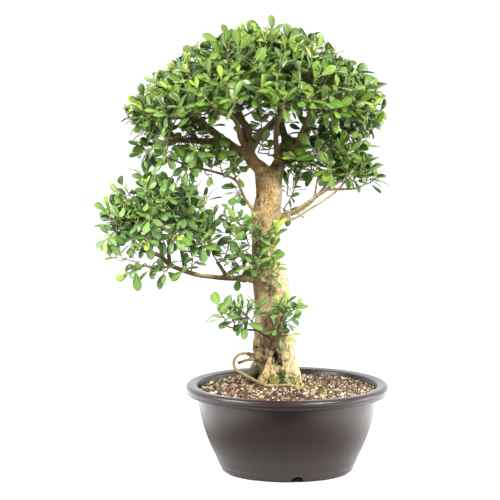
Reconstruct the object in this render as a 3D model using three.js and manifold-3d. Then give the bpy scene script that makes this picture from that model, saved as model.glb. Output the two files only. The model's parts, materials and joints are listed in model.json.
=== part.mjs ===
// Potted ficus bonsai: a pale fluted trunk cut flat at its top, a crown grown from stems at that
// cut, side branches with pads of foliage, low shoots and a looping surface root, in a round
// training pot full of granular soil. Millimetres, +Z up. While it is built the pot's axis is
// the z axis; the last step centres the whole plant's bounding box over the origin.
import * as THREE from 'three';
import { mergeVertices } from 'three/addons/utils/BufferGeometryUtils.js';
import Module from 'manifold-3d';

const wasm = await Module();
wasm.setup();

// Driving dimensions of the pot
const POT_HEIGHT = 173;
const RIM_RADIUS = 203;
const MOUTH_RADIUS = 179;
const LIP_HEIGHT = 19;
const LIP_THICKNESS = 3;
const FOOT_RADIUS = 132;
const FOOT_HEIGHT = 12;
const FOOT_THICKNESS = 4.5;
const WALL = 4;
const POT_SEGMENTS = 26;
const DRAIN_RADIUS = 9;
const DRAIN_CIRCLE = 78;
const DRAIN_COUNT = 4;
const NOTCH_RADIUS = 14;
const NOTCH_HEIGHT = 11;
const NOTCH_COUNT = 4;
const NOTCH_TURN = THREE.MathUtils.degToRad(7.8);
const SLOT_WIDTH = 128;
const SLOT_HEIGHT = 2;
const LOW_WALL = { radius: 152, height: 50 };
const HIGH_WALL = { radius: 163.5, height: 84 };

// Driving dimensions of the soil
const SOIL_LEVEL = 166;
const SOIL_EDGE_DROP = 5;
const SOIL_GRAIN = 1.3;
const SOIL_RINGS = [0.78, 0.52, 0.26, 0];

// Driving dimensions of the wood
const TRUNK_SIDES = 11;
const COLUMN_SIDES = 6;
const BOUGH_SIDES = 5;
const THICK_BOUGH_RADIUS = 7.5;
const TWIG_SIDES = 4;
const BRANCHLET_SIDES = 3;
const BRANCHLET_RADIUS = 2.4;
const BRANCHLET_TAPER = 0.012;
const BRANCHLET_SHARE = 0.55;
const NECK_LENGTH = 16;
const RING_TURN = 0.3;
const SEAT_GAP = 0.3;
const SOIL_GAP = 0.4;

// A branchlet roots where its way is short, does not lead down and does not start on a stem
const DOWNWARD_COST = 0.6;
const STEM_COST = 30;
const STEM_RADIUS = 8;

// Driving dimensions of the foliage
const LEAF_LENGTH = 39;
const LEAF_WIDTH = 20.5;
const LEAF_ARCH = 2.2;
const LEAF_DROOP = 0.1;
const LEAF_SMALLEST = 0.88;
const LEAF_SIZE_SPREAD = 0.24;
const LEAF_TWIST_SPREAD = 0.5;
const LEAF_OPENING = 0.95;
const SIDE_LEAF_OPENING = 1.05;
const OPENING_PER_WHORL = 0.42;
const OPENING_SPREAD = 0.3;
const NODE_RADIUS = 2.5;
const NODE_HEIGHT = 1.8;
const NODE_SPREAD = 6;
const WHORLS = { forked: [27, 52], long: [19, 39, 60], short: [24, 48] };
const SHOOT_FOOT_RADIUS = 2.1;
const SHOOT_BEND = 0.2;
const SIDE_SHOOT_RADIUS = 1.2;
const SIDE_SHOOT_HEIGHT = 8;
const SIDE_SHOOT_LENGTH = 32;
const SIDE_SHOOT_SPREAD = 14;
const BUD_LENGTH = 7;
const FIVE_LEAF_SHARE = 0.06;

// How the sprays find their room: each later try may be smaller, more bent and without a side shoot
const FOLIAGE_SEED = 20261;
const PLACING_TRIES = 150;
const MOST_SHRINKING = 0.18;
const MOST_ADDED_BEND = 0.3;
const FORKED_TRIES_SHARE = 0.7;

const MATERIALS = {
  pot: new THREE.MeshStandardMaterial({ color: 0x4a3d3c, roughness: 0.42, metalness: 0 }),
  soil: new THREE.MeshStandardMaterial({ color: 0x8a7258, roughness: 0.95, metalness: 0 }),
  bark: new THREE.MeshStandardMaterial({ color: 0xb79f78, roughness: 0.85, metalness: 0 }),
  leaf: new THREE.MeshStandardMaterial({ color: 0x3f7a2c, roughness: 0.38, metalness: 0 }),
};

// The trunk's middle line with its radius and the depth of its fluting, from the soil up
const TRUNK = [
  [-17, 6, 146, 30, 0.1],
  [-18, 5, 212, 28, 0.12],
  [-20, 4, 238, 30, 0.1],
  [-22, 3, 262, 34, 0.08],
  [-25, 1, 285, 36, 0.07],
  [-27, -1, 312, 35, 0.06],
  [-29, -3, 362, 37, 0.07],
  [-34, -3, 386, 34, 0.07],
  [-40, 0, 414, 29, 0.08],
  [-45, 3, 446, 25, 0.06],
  [-46, 5, 468, 25.5, 0.05],
  [-45, 6, 496, 29, 0.06],
  [-39, 6, 524, 27, 0.05],
  [-37, 5, 552, 25.5, 0.04],
  [-37, 4, 580, 26, 0.05],
  [-37, 4, 596, 27.5, 0.09],
];

// Root columns, knobs and the cut stub round the trunk's foot: x, y, z, radius
const COLUMNS = {
  right: [[-9, -3, 306, 15], [-5, -6, 266, 19], [3, -7, 228, 20], [8, -6, 200, 19],
    [13, -4, 172, 17], [16, -3, 146, 16]],
  left: [[-44, -3, 296, 14], [-49, -5, 262, 15], [-46, -8, 228, 14], [-44, -8, 200, 14],
    [-47, -4, 172, 15], [-50, -2, 146, 15]],
  splint: [[-32, -24, 236, 6], [-38, -33, 208, 8.5], [-47, -40, 178, 9], [-54, -44, 146, 9]],
  lump: [[-26, -22, 222, 8], [-29, -29, 196, 12], [-27, -33, 170, 13], [-26, -34, 146, 12]],
  backLeft: [[-34, 22, 268, 14], [-36, 33, 222, 16], [-43, 40, 174, 16], [-46, 43, 146, 15]],
  backRight: [[-2, 20, 262, 14], [6, 31, 214, 15], [14, 38, 174, 15], [17, 41, 146, 14]],
  knob: [[-40, -6, 262, 8], [-57, -9, 253, 12], [-63, -10, 243, 7]],
  stub: [[-40, -8, 224, 9], [-60, -17, 228, 8], [-73, -23, 231, 7.5]],
  topCollar: [[-30, 2, 574, 12], [-17, 0, 592, 10], [-13, -1, 606, 4]],
};

// The aerial root that leaves the trunk, turns back and runs over the soil in front of it
const LOOP_ROOT = [
  [-50, -18, 226, 5], [-70, -36, 234, 4], [-88, -46, 236, 3.8], [-101, -52, 229, 3.8],
  [-107, -58, 216, 4], [-98, -63, 205, 4.2], [-80, -68, 193, 4.3], [-63, -70, 181, 4.3],
  [-46, -68, 173.5, 4.2], [-22, -61, 172.5, 4.2], [16, -54, 172, 4], [34, -57, 168, 3.8],
  [50, -62, 158, 3.5],
];

// Stems and boughs, hand-set from the trunk outwards: x, y, z, radius
const BOUGHS = {
  crownStem: [[-40, 2, 566, 17], [-52, -2, 596, 15], [-71, -5, 613, 13], [-82, -7, 632, 12],
    [-79, -8, 646, 10]],
  crownRise: [[-79, -8, 642, 9], [-66, -5, 665, 8], [-39, 0, 686, 7], [-15, 2, 715, 6],
    [-2, 8, 760, 4.5]],
  crownBack: [[-79, -8, 640, 8], [-77, 22, 676, 7], [-92, 66, 696, 6], [-118, 110, 712, 5],
    [-134, 138, 734, 4]],
  crownFront: [[-80, -9, 640, 7], [-92, -42, 660, 6], [-100, -82, 684, 5], [-112, -118, 706, 4]],
  crownFar: [[-77, -6, 644, 7], [-90, 8, 700, 6], [-124, 6, 776, 4]],
  leftUpper: [[-80, -8, 626, 10], [-109, -20, 646, 9], [-135, -34, 666, 8], [-160, -42, 686, 7],
    [-200, -58, 712, 5], [-226, -66, 736, 4]],
  leftLong: [[-133, -31, 660, 7], [-157, -10, 655, 7], [-181, 10, 656, 6.5], [-223, 28, 659, 6],
    [-247, 36, 672, 5], [-284, 46, 698, 4]],
  leftFork: [[-222, 28, 659, 5], [-236, 8, 678, 4.5], [-254, -14, 700, 4]],
  leftBack: [[-178, 8, 656, 5.5], [-196, 52, 680, 5], [-206, 96, 706, 4]],
  rightStem: [[-31, 6, 574, 13], [-20, 8, 604, 10], [-12, 11, 628, 9], [-7, 13, 650, 8],
    [-10, 20, 680, 7], [-6, 42, 720, 5.5], [2, 66, 752, 4]],
  rightFront: [[-18, 6, 606, 8], [-22, -16, 640, 6], [-24, -56, 676, 5], [-18, -104, 706, 4]],
  rightMid: [[-17, 8, 608, 8], [4, -10, 628, 7], [22, -34, 660, 6], [32, -56, 688, 5],
    [44, -92, 722, 4]],
  rightInner: [[22, -34, 660, 5], [66, -16, 740, 4]],
  rightLow: [[-16, 10, 606, 8.5], [5, 20, 626, 7.5], [25, 28, 641, 7], [54, 38, 648, 6.5],
    [92, 42, 676, 5.5], [132, 38, 700, 4]],
  rightBack: [[25, 28, 641, 6], [44, 72, 672, 5], [62, 118, 708, 4]],
  sideRight: [[-28, 6, 502, 10], [-8, 4, 509, 9], [10, 0, 514, 8], [29, -9, 529, 7.5],
    [56, -20, 551, 6.5], [84, -30, 567, 6], [112, -40, 587, 5], [134, -45, 612, 4]],
  sideRightOuter: [[84, -30, 567, 4], [106, -22, 562, 3.5], [128, -8, 564, 3]],
  sideRightTwin: [[8, 2, 512, 5], [28, 12, 517, 4.5], [50, 34, 534, 4], [80, 52, 566, 3.5]],
  sideLeft: [[-58, 4, 514, 7], [-73, 0, 522, 5.5], [-87, -10, 547, 5], [-101, -15, 578, 4.5],
    [-130, -25, 592, 4.5], [-162, -30, 601, 4], [-200, -35, 611, 3.5], [-240, -35, 627, 3]],
  padMain: [[-46, -4, 384, 9], [-66, -6, 383, 8], [-88, -15, 385, 7], [-118, -25, 386, 6.5],
    [-152, -30, 390, 6.3], [-184, -30, 395, 6], [-230, -20, 411, 5.5], [-252, -10, 429, 5.2],
    [-280, 2, 437, 4.8], [-300, 5, 450, 4], [-309, 5, 476, 3.5]],
  padBack: [[-200, -27, 401, 5], [-208, 10, 426, 4.5], [-214, 44, 456, 4]],
  padRise: [[-232, -19, 412, 4.5], [-234, -30, 446, 4], [-220, -34, 480, 3.5]],
  padInner: [[-118, -25, 386, 4.5], [-130, -28, 406, 4], [-140, -24, 420, 3.5]],
  padTwig: [[-224, -20, 409, 3], [-262, -38, 408, 2.6], [-280, -44, 413, 2.4]],
  midTwig: [[-54, -2, 484, 6], [-68, -8, 486, 4], [-80, -16, 486, 3]],
  midRise: [[-86, -14, 385, 5], [-86, -30, 390, 4], [-86, -38, 394, 3.5]],
  frontTwig: [[-42, -20, 364, 4.5], [-41, -42, 369, 3.4]],
  lowStem: [[-31, -26, 226, 5], [-34, -37, 240, 4], [-32, -46, 266, 3.6], [-22, -52, 284, 3.4]],
  lowLeft: [[-31, -45, 262, 3.4], [-51, -58, 282, 3.2], [-66, -66, 300, 2.8]],
  lowTwig: [[-49, -57, 280, 2.8], [-84, -72, 290, 2.5], [-98, -77, 294, 2.4]],
};

// Pads of foliage. Sprays stand all over an ellipsoid's upper side, by a spiral that starts at its
// top, turned by phase, and ends at the lowest direction. Taper above 1 makes the top more pointed,
// rise is how much a spray leans upwards, and tilt lifts the pad's +X side.
const PADS = [
  {
    name: 'crown', centre: [-62, 0, 690], radii: [203, 168, 134], count: 23,
    lowest: -0.08, phase: 0.6, taper: 1.3, rise: 0.2, tilt: 0.06,
  },
  {
    name: 'tier_left', centre: [-244, -20, 650], radii: [54, 70, 14], count: 4,
    lowest: -0.5, phase: 4.2, taper: 1, rise: -0.2, tilt: 0,
  },
  {
    name: 'tier_right', centre: [80, -6, 604], radii: [48, 62, 34], count: 6,
    lowest: -0.15, phase: 3, taper: 1, rise: 0.15, tilt: 0,
  },
  {
    name: 'pad_left', centre: [-248, -2, 476], radii: [92, 58, 44], count: 9,
    lowest: -0.35, phase: 0.6, taper: 1, rise: 0.1, tilt: -0.05,
  },
];

// Single sprays on the low and middle shoots: where each starts, the way it points, its size and
// its habit: forked ones have a side shoot, long and short ones only differ in their whorls
const SINGLE_SPRAYS = [
  { name: 'pad_inner', start: [-148, -22, 434], toward: [-0.3, -0.3, 1], size: 0.9, habit: 'short' },
  { name: 'pad_twig', start: [-292, -50, 418], toward: [-0.8, -0.5, 0.1], size: 0.85, habit: 'short' },
  { name: 'mid_left', start: [-92, -34, 490], toward: [-0.3, -0.8, 0.4], size: 0.8, habit: 'short' },
  { name: 'mid_front', start: [-86, -48, 410], toward: [0, -0.3, 1], size: 0.95, habit: 'long' },
  { name: 'trunk_front', start: [-38, -52, 396], toward: [0.15, -0.2, 1], size: 0.95, habit: 'long' },
  { name: 'trunk_right', start: [4, 18, 536], toward: [0.4, 0.6, 0.8], size: 0.8, habit: 'short' },
  { name: 'low_right', start: [-16, -58, 300], toward: [0.5, -0.3, 1], size: 1, habit: 'forked' },
  { name: 'low_left', start: [-74, -72, 308], toward: [-0.5, -0.5, 0.8], size: 1, habit: 'forked' },
  { name: 'low_twig', start: [-112, -84, 300], toward: [-1, -0.3, 0.2], size: 0.9, habit: 'short' },
];

/** A seeded generator of numbers from 0 to 1. */
function randomFrom(seed) {
  let state = seed;
  return () => {
    state = (state + 0x6d2b79f5) | 0;
    let mixed = Math.imul(state ^ (state >>> 15), 1 | state);
    mixed = (mixed + Math.imul(mixed ^ (mixed >>> 7), 61 | mixed)) ^ mixed;
    return ((mixed ^ (mixed >>> 14)) >>> 0) / 4294967296;
  };
}

/** The closed solid inside a three.js geometry, whose shared vertices are merged first. */
function solidOf(geometry) {
  const bare = geometry.clone();
  bare.deleteAttribute('normal');
  bare.deleteAttribute('uv');
  const merged = mergeVertices(bare, 1e-4);
  const corners = merged.index.array;
  const kept = [];
  for (let i = 0; i < corners.length; i += 3) {
    const [a, b, c] = [corners[i], corners[i + 1], corners[i + 2]];
    if (a !== b && b !== c && c !== a) {
      kept.push(a, b, c);
    }
  }
  return new wasm.Manifold(new wasm.Mesh({
    numProp: 3,
    vertProperties: new Float32Array(merged.attributes.position.array),
    triVerts: new Uint32Array(kept),
  }));
}

/** The three.js geometry of a solid's surface. */
function geometryOf(solid) {
  const mesh = solid.getMesh();
  const positions = new Float32Array(mesh.numVert * 3);
  for (let i = 0; i < mesh.numVert; i += 1) {
    positions.set(mesh.vertProperties.subarray(i * mesh.numProp, i * mesh.numProp + 3), i * 3);
  }
  const geometry = new THREE.BufferGeometry();
  geometry.setAttribute('position', new THREE.BufferAttribute(positions, 3));
  geometry.setIndex(new THREE.BufferAttribute(new Uint32Array(mesh.triVerts), 1));
  geometry.computeVertexNormals();
  return geometry;
}

/** The largest single body of a solid, without loose scraps. */
function largestBody(solid) {
  const bodies = solid.decompose();
  return bodies.reduce((best, body) => (body.volume() > best.volume() ? body : best));
}

/** All the solids joined in one. */
function joined(solids) {
  return solids.reduce((whole, next) => whole.add(next));
}

/** A mesh from vertices and faces. */
function meshOf(vertices, faces) {
  const geometry = new THREE.BufferGeometry();
  const numbers = vertices.flatMap((vertex) => vertex.toArray());
  geometry.setAttribute('position', new THREE.Float32BufferAttribute(numbers, 3));
  geometry.setIndex(faces.flat());
  return geometry;
}

/** Frames along a line of points: the way it runs and two directions across it, without twist. */
function framesAlong(points) {
  const frames = [];
  let across = null;
  points.forEach((point, i) => {
    const before = points[Math.max(i - 1, 0)];
    const after = points[Math.min(i + 1, points.length - 1)];
    const along = after.clone().sub(before).normalize();
    if (across === null) {
      const helper = Math.abs(along.z) < 0.8 ? new THREE.Vector3(0, 0, 1) : new THREE.Vector3(0, 1, 0);
      across = helper.cross(along).normalize();
    } else {
      across = across.clone().addScaledVector(along, -across.dot(along)).normalize();
    }
    frames.push({ point, along, across, over: along.clone().cross(across) });
  });
  return frames;
}

/** The corners of one ring of a tube, counted round the way that it runs. */
function ringAt(frame, radius, sides, turn = 0, shape = () => 1) {
  const corners = [];
  for (let j = 0; j < sides; j += 1) {
    const angle = turn + (2 * Math.PI * j) / sides;
    const reach = radius * shape(angle);
    corners.push(frame.point.clone()
      .addScaledVector(frame.across, reach * Math.cos(angle))
      .addScaledVector(frame.over, reach * Math.sin(angle)));
  }
  return corners;
}

/** The faces that join ring a to ring b of a tube; a and b are the rings' first vertices. */
function tubeFaces(a, b, sides) {
  const faces = [];
  for (let j = 0; j < sides; j += 1) {
    const k = (j + 1) % sides;
    faces.push([a + j, a + k, b + k], [a + j, b + k, b + j]);
  }
  return faces;
}

/**
 * A closed tapered tube along stations of x, y, z and radius, larger by extra all round; shape
 * changes each ring's outline.
 */
function limb(stations, sides, extra = 0, shape = () => () => 1) {
  const frames = framesAlong(stations.map(([x, y, z]) => new THREE.Vector3(x, y, z)));
  frames[0].point.addScaledVector(frames[0].along, -extra);
  frames[frames.length - 1].point.addScaledVector(frames[frames.length - 1].along, extra);
  const vertices = [];
  const faces = [];
  frames.forEach((frame, i) => {
    vertices.push(...ringAt(frame, stations[i][3] + extra, sides, RING_TURN, shape(i)));
    if (i > 0) {
      faces.push(...tubeFaces((i - 1) * sides, i * sides, sides));
    }
  });
  const last = (frames.length - 1) * sides;
  for (let j = 1; j < sides - 1; j += 1) {
    faces.push([0, j + 1, j], [last, last + j, last + j + 1]);
  }
  return solidOf(meshOf(vertices, faces));
}

/** The trunk's outline at one station: a round with shallow flutes that turn slowly upwards. */
function fluting(i) {
  const depth = 0.6 * TRUNK[i][4];
  return (angle) => 1 + depth * (Math.sin(3 * angle + 0.5 * i) + Math.sin(5 * angle - 0.35 * i));
}

/** The parts of the woody body that go into or lie on the soil. */
function rootwork(extra = 0) {
  const trunk = limb(TRUNK, TRUNK_SIDES, extra, fluting);
  const columns = Object.values(COLUMNS).map((stations) => limb(stations, COLUMN_SIDES, extra));
  const loop = limb(LOOP_ROOT, BOUGH_SIDES, extra);
  return joined([trunk, ...columns, loop]);
}

/** The pot: a turned shell with a raised floor, drainage holes and a notched foot. */
function pot() {
  const rimTop = POT_HEIGHT;
  const floorUnder = FOOT_HEIGHT + 0.5;
  const floorTop = floorUnder + WALL;
  const profile = [
    [DRAIN_RADIUS, floorUnder],
    [FOOT_RADIUS - FOOT_THICKNESS - 0.5, floorUnder],
    [FOOT_RADIUS - FOOT_THICKNESS, 0],
    [FOOT_RADIUS, 0],
    [FOOT_RADIUS + 2.5, FOOT_HEIGHT],
    [FOOT_RADIUS + 5, FOOT_HEIGHT + 1.5],
    [LOW_WALL.radius, LOW_WALL.height],
    [HIGH_WALL.radius, HIGH_WALL.height],
    [MOUTH_RADIUS - 2.5, rimTop - 24],
    [MOUTH_RADIUS + 4.5, rimTop - 9],
    [RIM_RADIUS - LIP_THICKNESS - 4, rimTop - 7.5],
    [RIM_RADIUS - LIP_THICKNESS - 2.5, rimTop - LIP_HEIGHT],
    [RIM_RADIUS - 2.5, rimTop - LIP_HEIGHT],
    [RIM_RADIUS, rimTop - 8],
    [RIM_RADIUS - 9, rimTop],
    [MOUTH_RADIUS + 4, rimTop - 2],
    [MOUTH_RADIUS, rimTop - 7],
    [MOUTH_RADIUS - 6.5, rimTop - 26],
    [HIGH_WALL.radius - WALL, HIGH_WALL.height],
    [FOOT_RADIUS + 1.5, floorTop],
    [DRAIN_RADIUS, floorTop],
  ].map(([radius, height]) => new THREE.Vector2(radius, height));
  const shell = new THREE.LatheGeometry([...profile, profile[0]], POT_SEGMENTS);
  shell.rotateX(Math.PI / 2);
  let solid = solidOf(shell);
  for (let i = 0; i < DRAIN_COUNT; i += 1) {
    const angle = (2 * Math.PI * (i + 0.5)) / DRAIN_COUNT;
    const drill = new THREE.CylinderGeometry(DRAIN_RADIUS, DRAIN_RADIUS, 4 * WALL, 6);
    drill.rotateX(Math.PI / 2);
    drill.translate(DRAIN_CIRCLE * Math.cos(angle), DRAIN_CIRCLE * Math.sin(angle), floorTop - WALL / 2);
    solid = solid.subtract(solidOf(drill));
  }
  for (let i = 0; i < NOTCH_COUNT; i += 1) {
    const turn = (2 * Math.PI * i) / NOTCH_COUNT;
    const notch = new THREE.CylinderGeometry(NOTCH_RADIUS, NOTCH_RADIUS, 30, 8);
    notch.translate(0, -FOOT_RADIUS, NOTCH_HEIGHT - NOTCH_RADIUS);
    notch.rotateZ(turn + NOTCH_TURN);
    const slot = new THREE.BoxGeometry(SLOT_WIDTH, 60, 2 * SLOT_HEIGHT);
    slot.translate(0, -FOOT_RADIUS, 0);
    slot.rotateZ(turn);
    solid = solid.subtract(solidOf(notch)).subtract(solidOf(slot));
  }
  return solid;
}

/** How far the soil's surface lies above its level, from its dish and its grains. */
function soilRelief(x, y) {
  const share = Math.hypot(x, y) / MOUTH_RADIUS;
  const alongX = Math.sin(0.31 * x + 1.7 * Math.sin(0.23 * y));
  const alongY = Math.cos(0.27 * y - 1.3 * Math.sin(0.19 * x));
  return SOIL_GRAIN * alongX * alongY - SOIL_EDGE_DROP * share * share;
}

/** The soil: it fills the pot, and its grainy top has plain holes where the roots go in. */
function soil(roots) {
  const floor = FOOT_HEIGHT + 0.5 + WALL + SEAT_GAP;
  const side = SEAT_GAP + 0.2;
  const edge = SOIL_LEVEL - SOIL_EDGE_DROP;
  const profile = [
    [0, floor],
    [FOOT_RADIUS + 1.2 - side, floor],
    [HIGH_WALL.radius - WALL - SEAT_GAP - side, HIGH_WALL.height],
    [MOUTH_RADIUS - 7 - side, POT_HEIGHT - 26],
    [MOUTH_RADIUS - 2.5 - side, edge - 1],
  ];
  SOIL_RINGS.forEach((share) => profile.push([share * (MOUTH_RADIUS - 3), SOIL_LEVEL]));
  const outline = profile.map(([radius, height]) => new THREE.Vector2(radius, height));
  const body = new THREE.LatheGeometry(outline, POT_SEGMENTS);
  body.rotateX(Math.PI / 2);
  const places = body.attributes.position;
  for (let i = 0; i < places.count; i += 1) {
    if (Math.abs(places.getZ(i) - SOIL_LEVEL) < 0.5) {
      places.setZ(i, SOIL_LEVEL + soilRelief(places.getX(i), places.getY(i)));
    }
  }
  return largestBody(solidOf(body).subtract(roots));
}

/**
 * One leaf on a side of a shoot's node. Its rim runs from the node to the widest part, the tip and
 * back; its upper side rises to one point on the midrib, and its lower side is flat from rim to rim.
 */
function leafBlade(vertices, corners, leaf) {
  const { upperRight, upperLeft, lowerRight, lowerLeft } = corners;
  const origin = vertices[upperRight].clone().add(vertices[upperLeft])
    .add(vertices[lowerRight]).add(vertices[lowerLeft]).multiplyScalar(0.25);
  const place = (share, width, lift) => origin.clone()
    .addScaledVector(leaf.forward, share * leaf.length)
    .addScaledVector(leaf.right, width * leaf.width * 0.5)
    .addScaledVector(leaf.up, lift - LEAF_DROOP * leaf.length * share * share);
  const first = vertices.length;
  vertices.push(
    place(0.4, 0.76, 0),
    place(0.79, 0.86, 0),
    place(1, 0, 0),
    place(0.79, -0.86, 0),
    place(0.4, -0.76, 0),
    place(0.56, 0, LEAF_ARCH),
  );
  const [lowRight, wideRight, tip] = [first, first + 1, first + 2];
  const [wideLeft, lowLeft, crest] = [first + 3, first + 4, first + 5];
  const upper = [upperRight, lowRight, wideRight, tip, wideLeft, lowLeft, upperLeft];
  const faces = upper.map((corner, i) => [crest, corner, upper[(i + 1) % upper.length]]);
  faces.push(
    [lowerRight, lowerLeft, lowLeft], [lowerRight, lowLeft, lowRight], [lowRight, lowLeft, wideLeft],
    [lowRight, wideLeft, wideRight], [wideRight, wideLeft, tip],
    [upperRight, lowerRight, lowRight], [upperLeft, lowLeft, lowerLeft],
  );
  return faces;
}

/**
 * A shoot with a whorl of leaves at each of its nodes and a bud at its tip. Nodes are distances
 * along it, in order; its sides are as many as the leaves of a whorl.
 */
function shoot({ start, along, across, nodes, sides, size, opening, bend, turn, foot, random }) {
  const length = nodes[nodes.length - 1];
  const pointAt = (distance) => start.clone().addScaledVector(along, distance)
    .addScaledVector(across, (bend * distance * distance) / length);
  const stations = [{ distance: 0, radius: foot }];
  nodes.forEach((distance, i) => {
    stations.push({ distance, radius: NODE_RADIUS, node: false });
    const below = nodes.length - 1 - i;
    stations.push({ distance: distance + NODE_HEIGHT, radius: NODE_RADIUS, node: true, below });
  });
  const frames = framesAlong(stations.map(({ distance }) => pointAt(distance)));
  const vertices = [];
  const faces = [];
  stations.forEach((station, i) => {
    vertices.push(...ringAt(frames[i], station.radius, sides, turn));
  });
  for (let i = 1; i < stations.length; i += 1) {
    const lower = (i - 1) * sides;
    const upper = i * sides;
    if (!stations[i].node) {
      faces.push(...tubeFaces(lower, upper, sides));
      continue;
    }
    for (let j = 0; j < sides; j += 1) {
      const k = (j + 1) % sides;
      const middle = vertices[lower + j].clone().add(vertices[lower + k]).multiplyScalar(0.5);
      const outward = middle.sub(frames[i - 1].point).normalize();
      const lean = opening + OPENING_PER_WHORL * stations[i].below + OPENING_SPREAD * (random() - 0.5);
      const forward = outward.clone().multiplyScalar(Math.sin(lean))
        .addScaledVector(frames[i].along, Math.cos(lean)).normalize();
      const twist = LEAF_TWIST_SPREAD * (random() - 0.5);
      const right = forward.clone().cross(frames[i].along).normalize().applyAxisAngle(forward, twist);
      const scale = size * (LEAF_SMALLEST + LEAF_SIZE_SPREAD * random());
      const corners = {
        upperRight: upper + j,
        upperLeft: upper + k,
        lowerRight: lower + j,
        lowerLeft: lower + k,
      };
      const leaf = {
        forward,
        right,
        up: right.clone().cross(forward),
        length: LEAF_LENGTH * scale,
        width: LEAF_WIDTH * scale,
      };
      faces.push(...leafBlade(vertices, corners, leaf));
    }
  }
  const last = (stations.length - 1) * sides;
  const tip = vertices.push(pointAt(length + NODE_HEIGHT + BUD_LENGTH)) - 1;
  for (let j = 0; j < sides; j += 1) {
    faces.push([last + j, last + ((j + 1) % sides), tip]);
  }
  for (let j = 1; j < sides - 1; j += 1) {
    faces.push([0, j + 1, j]);
  }
  return solidOf(meshOf(vertices, faces));
}

/** A direction across the given one, turned round it by an angle. */
function acrossFrom(along, angle) {
  const helper = Math.abs(along.z) < 0.9 ? new THREE.Vector3(0, 0, 1) : new THREE.Vector3(1, 0, 0);
  return helper.cross(along).normalize().applyAxisAngle(along, angle);
}

/** A leafy spray: its main shoot and, where it is forked, a side shoot; null if the two cross. */
function spray(site, random, slack) {
  const along = site.toward.clone();
  const start = site.start.clone().addScaledVector(along, SEAT_GAP);
  const size = site.size * (1 - MOST_SHRINKING * slack);
  const habit = site.habit === 'forked' && slack > FORKED_TRIES_SHARE ? 'long' : site.habit;
  const leavesOfWhorl = () => (random() < FIVE_LEAF_SHARE ? 5 : 4);
  const main = shoot({
    start,
    along,
    across: acrossFrom(along, 2 * Math.PI * random()),
    nodes: WHORLS[habit].map((distance) => distance + NODE_SPREAD * random()),
    sides: leavesOfWhorl(),
    foot: SHOOT_FOOT_RADIUS,
    size,
    opening: LEAF_OPENING,
    bend: (SHOOT_BEND + MOST_ADDED_BEND * slack) * random(),
    turn: 2 * Math.PI * random(),
    random,
  });
  if (habit !== 'forked') {
    return main;
  }
  const sideways = acrossFrom(along, site.branching + 2 * Math.PI * slack * (random() - 0.5));
  const sideAlong = sideways.addScaledVector(along, 0.5 + 0.5 * random()).normalize();
  const sideLength = SIDE_SHOOT_LENGTH + SIDE_SHOOT_SPREAD * random();
  const sides = leavesOfWhorl();
  const turn = 2 * Math.PI * random();
  const seed = 1e9 * random();
  const sideShoot = (skipped) => shoot({
    start: start.clone().addScaledVector(along, SIDE_SHOOT_HEIGHT).addScaledVector(sideAlong, skipped),
    along: sideAlong,
    across: sideways,
    nodes: [sideLength - skipped],
    sides,
    foot: SIDE_SHOOT_RADIUS,
    size,
    opening: SIDE_LEAF_OPENING,
    bend: 0,
    turn,
    random: randomFrom(seed),
  });
  return crosses(sideShoot(SIDE_SHOOT_HEIGHT), main) ? null : main.add(sideShoot(0));
}

/** Whether two solids share any space. */
function crosses(a, b) {
  const boxA = a.boundingBox();
  const boxB = b.boundingBox();
  for (let axis = 0; axis < 3; axis += 1) {
    if (boxA.max[axis] < boxB.min[axis] || boxB.max[axis] < boxA.min[axis]) {
      return false;
    }
  }
  const common = a.intersect(b);
  const empty = common.isEmpty();
  common.delete();
  return !empty;
}

/** The places of a pad's sprays: a spiral over the upper side of its ellipsoid. */
function padSites(pad) {
  const golden = Math.PI * (3 - Math.sqrt(5));
  const sites = [];
  for (let i = 0; i < pad.count; i += 1) {
    const height = 1 - ((i + 0.5) / pad.count) * (1 - pad.lowest);
    const reach = Math.sqrt(1 - height * height);
    const angle = golden * i + pad.phase;
    const way = new THREE.Vector3(reach * Math.cos(angle), reach * Math.sin(angle), height);
    const inward = Math.pow(reach, pad.taper - 1);
    const start = way.clone().multiply(new THREE.Vector3(inward, inward, 1))
      .multiply(new THREE.Vector3(...pad.radii)).add(new THREE.Vector3(...pad.centre));
    start.z += pad.tilt * (start.x - pad.centre[0]);
    const toward = way.clone().divide(new THREE.Vector3(...pad.radii)).normalize();
    toward.z += pad.rise;
    sites.push({
      name: `spray_${pad.name}_${String(i + 1).padStart(2, '0')}`,
      start,
      toward: toward.normalize(),
      size: 1,
      habit: i % 2 === 0 ? 'forked' : 'long',
      branching: angle * 2,
    });
  }
  return sites;
}

/** All the sprays' places, pads first, then the single ones. */
function allSites() {
  const singles = SINGLE_SPRAYS.map(({ name, start, toward, size, habit }, i) => ({
    name: `spray_${name}`,
    start: new THREE.Vector3(...start),
    toward: new THREE.Vector3(...toward).normalize(),
    size,
    habit,
    branching: 2.1 * i,
  }));
  return [...PADS.flatMap(padSites), ...singles];
}

/** The best place on any bough for a branchlet that leads to the target, with its radius and cost. */
function nearestWood(target) {
  let best = { gap: Infinity };
  Object.values(BOUGHS).forEach((stations) => {
    for (let i = 1; i < stations.length; i += 1) {
      const [from, to] = [stations[i - 1], stations[i]];
      for (const share of [0.25, 0.5, 0.75, 1]) {
        const [x, y, z, radius] = from.map((value, n) => value + share * (to[n] - value));
        const place = new THREE.Vector3(x, y, z);
        const gap = place.distanceTo(target) + DOWNWARD_COST * Math.max(0, z - target.z)
          + (radius > STEM_RADIUS ? STEM_COST : 0);
        if (gap < best.gap) {
          best = { gap, place, radius };
        }
      }
    }
  });
  return best;
}

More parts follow.
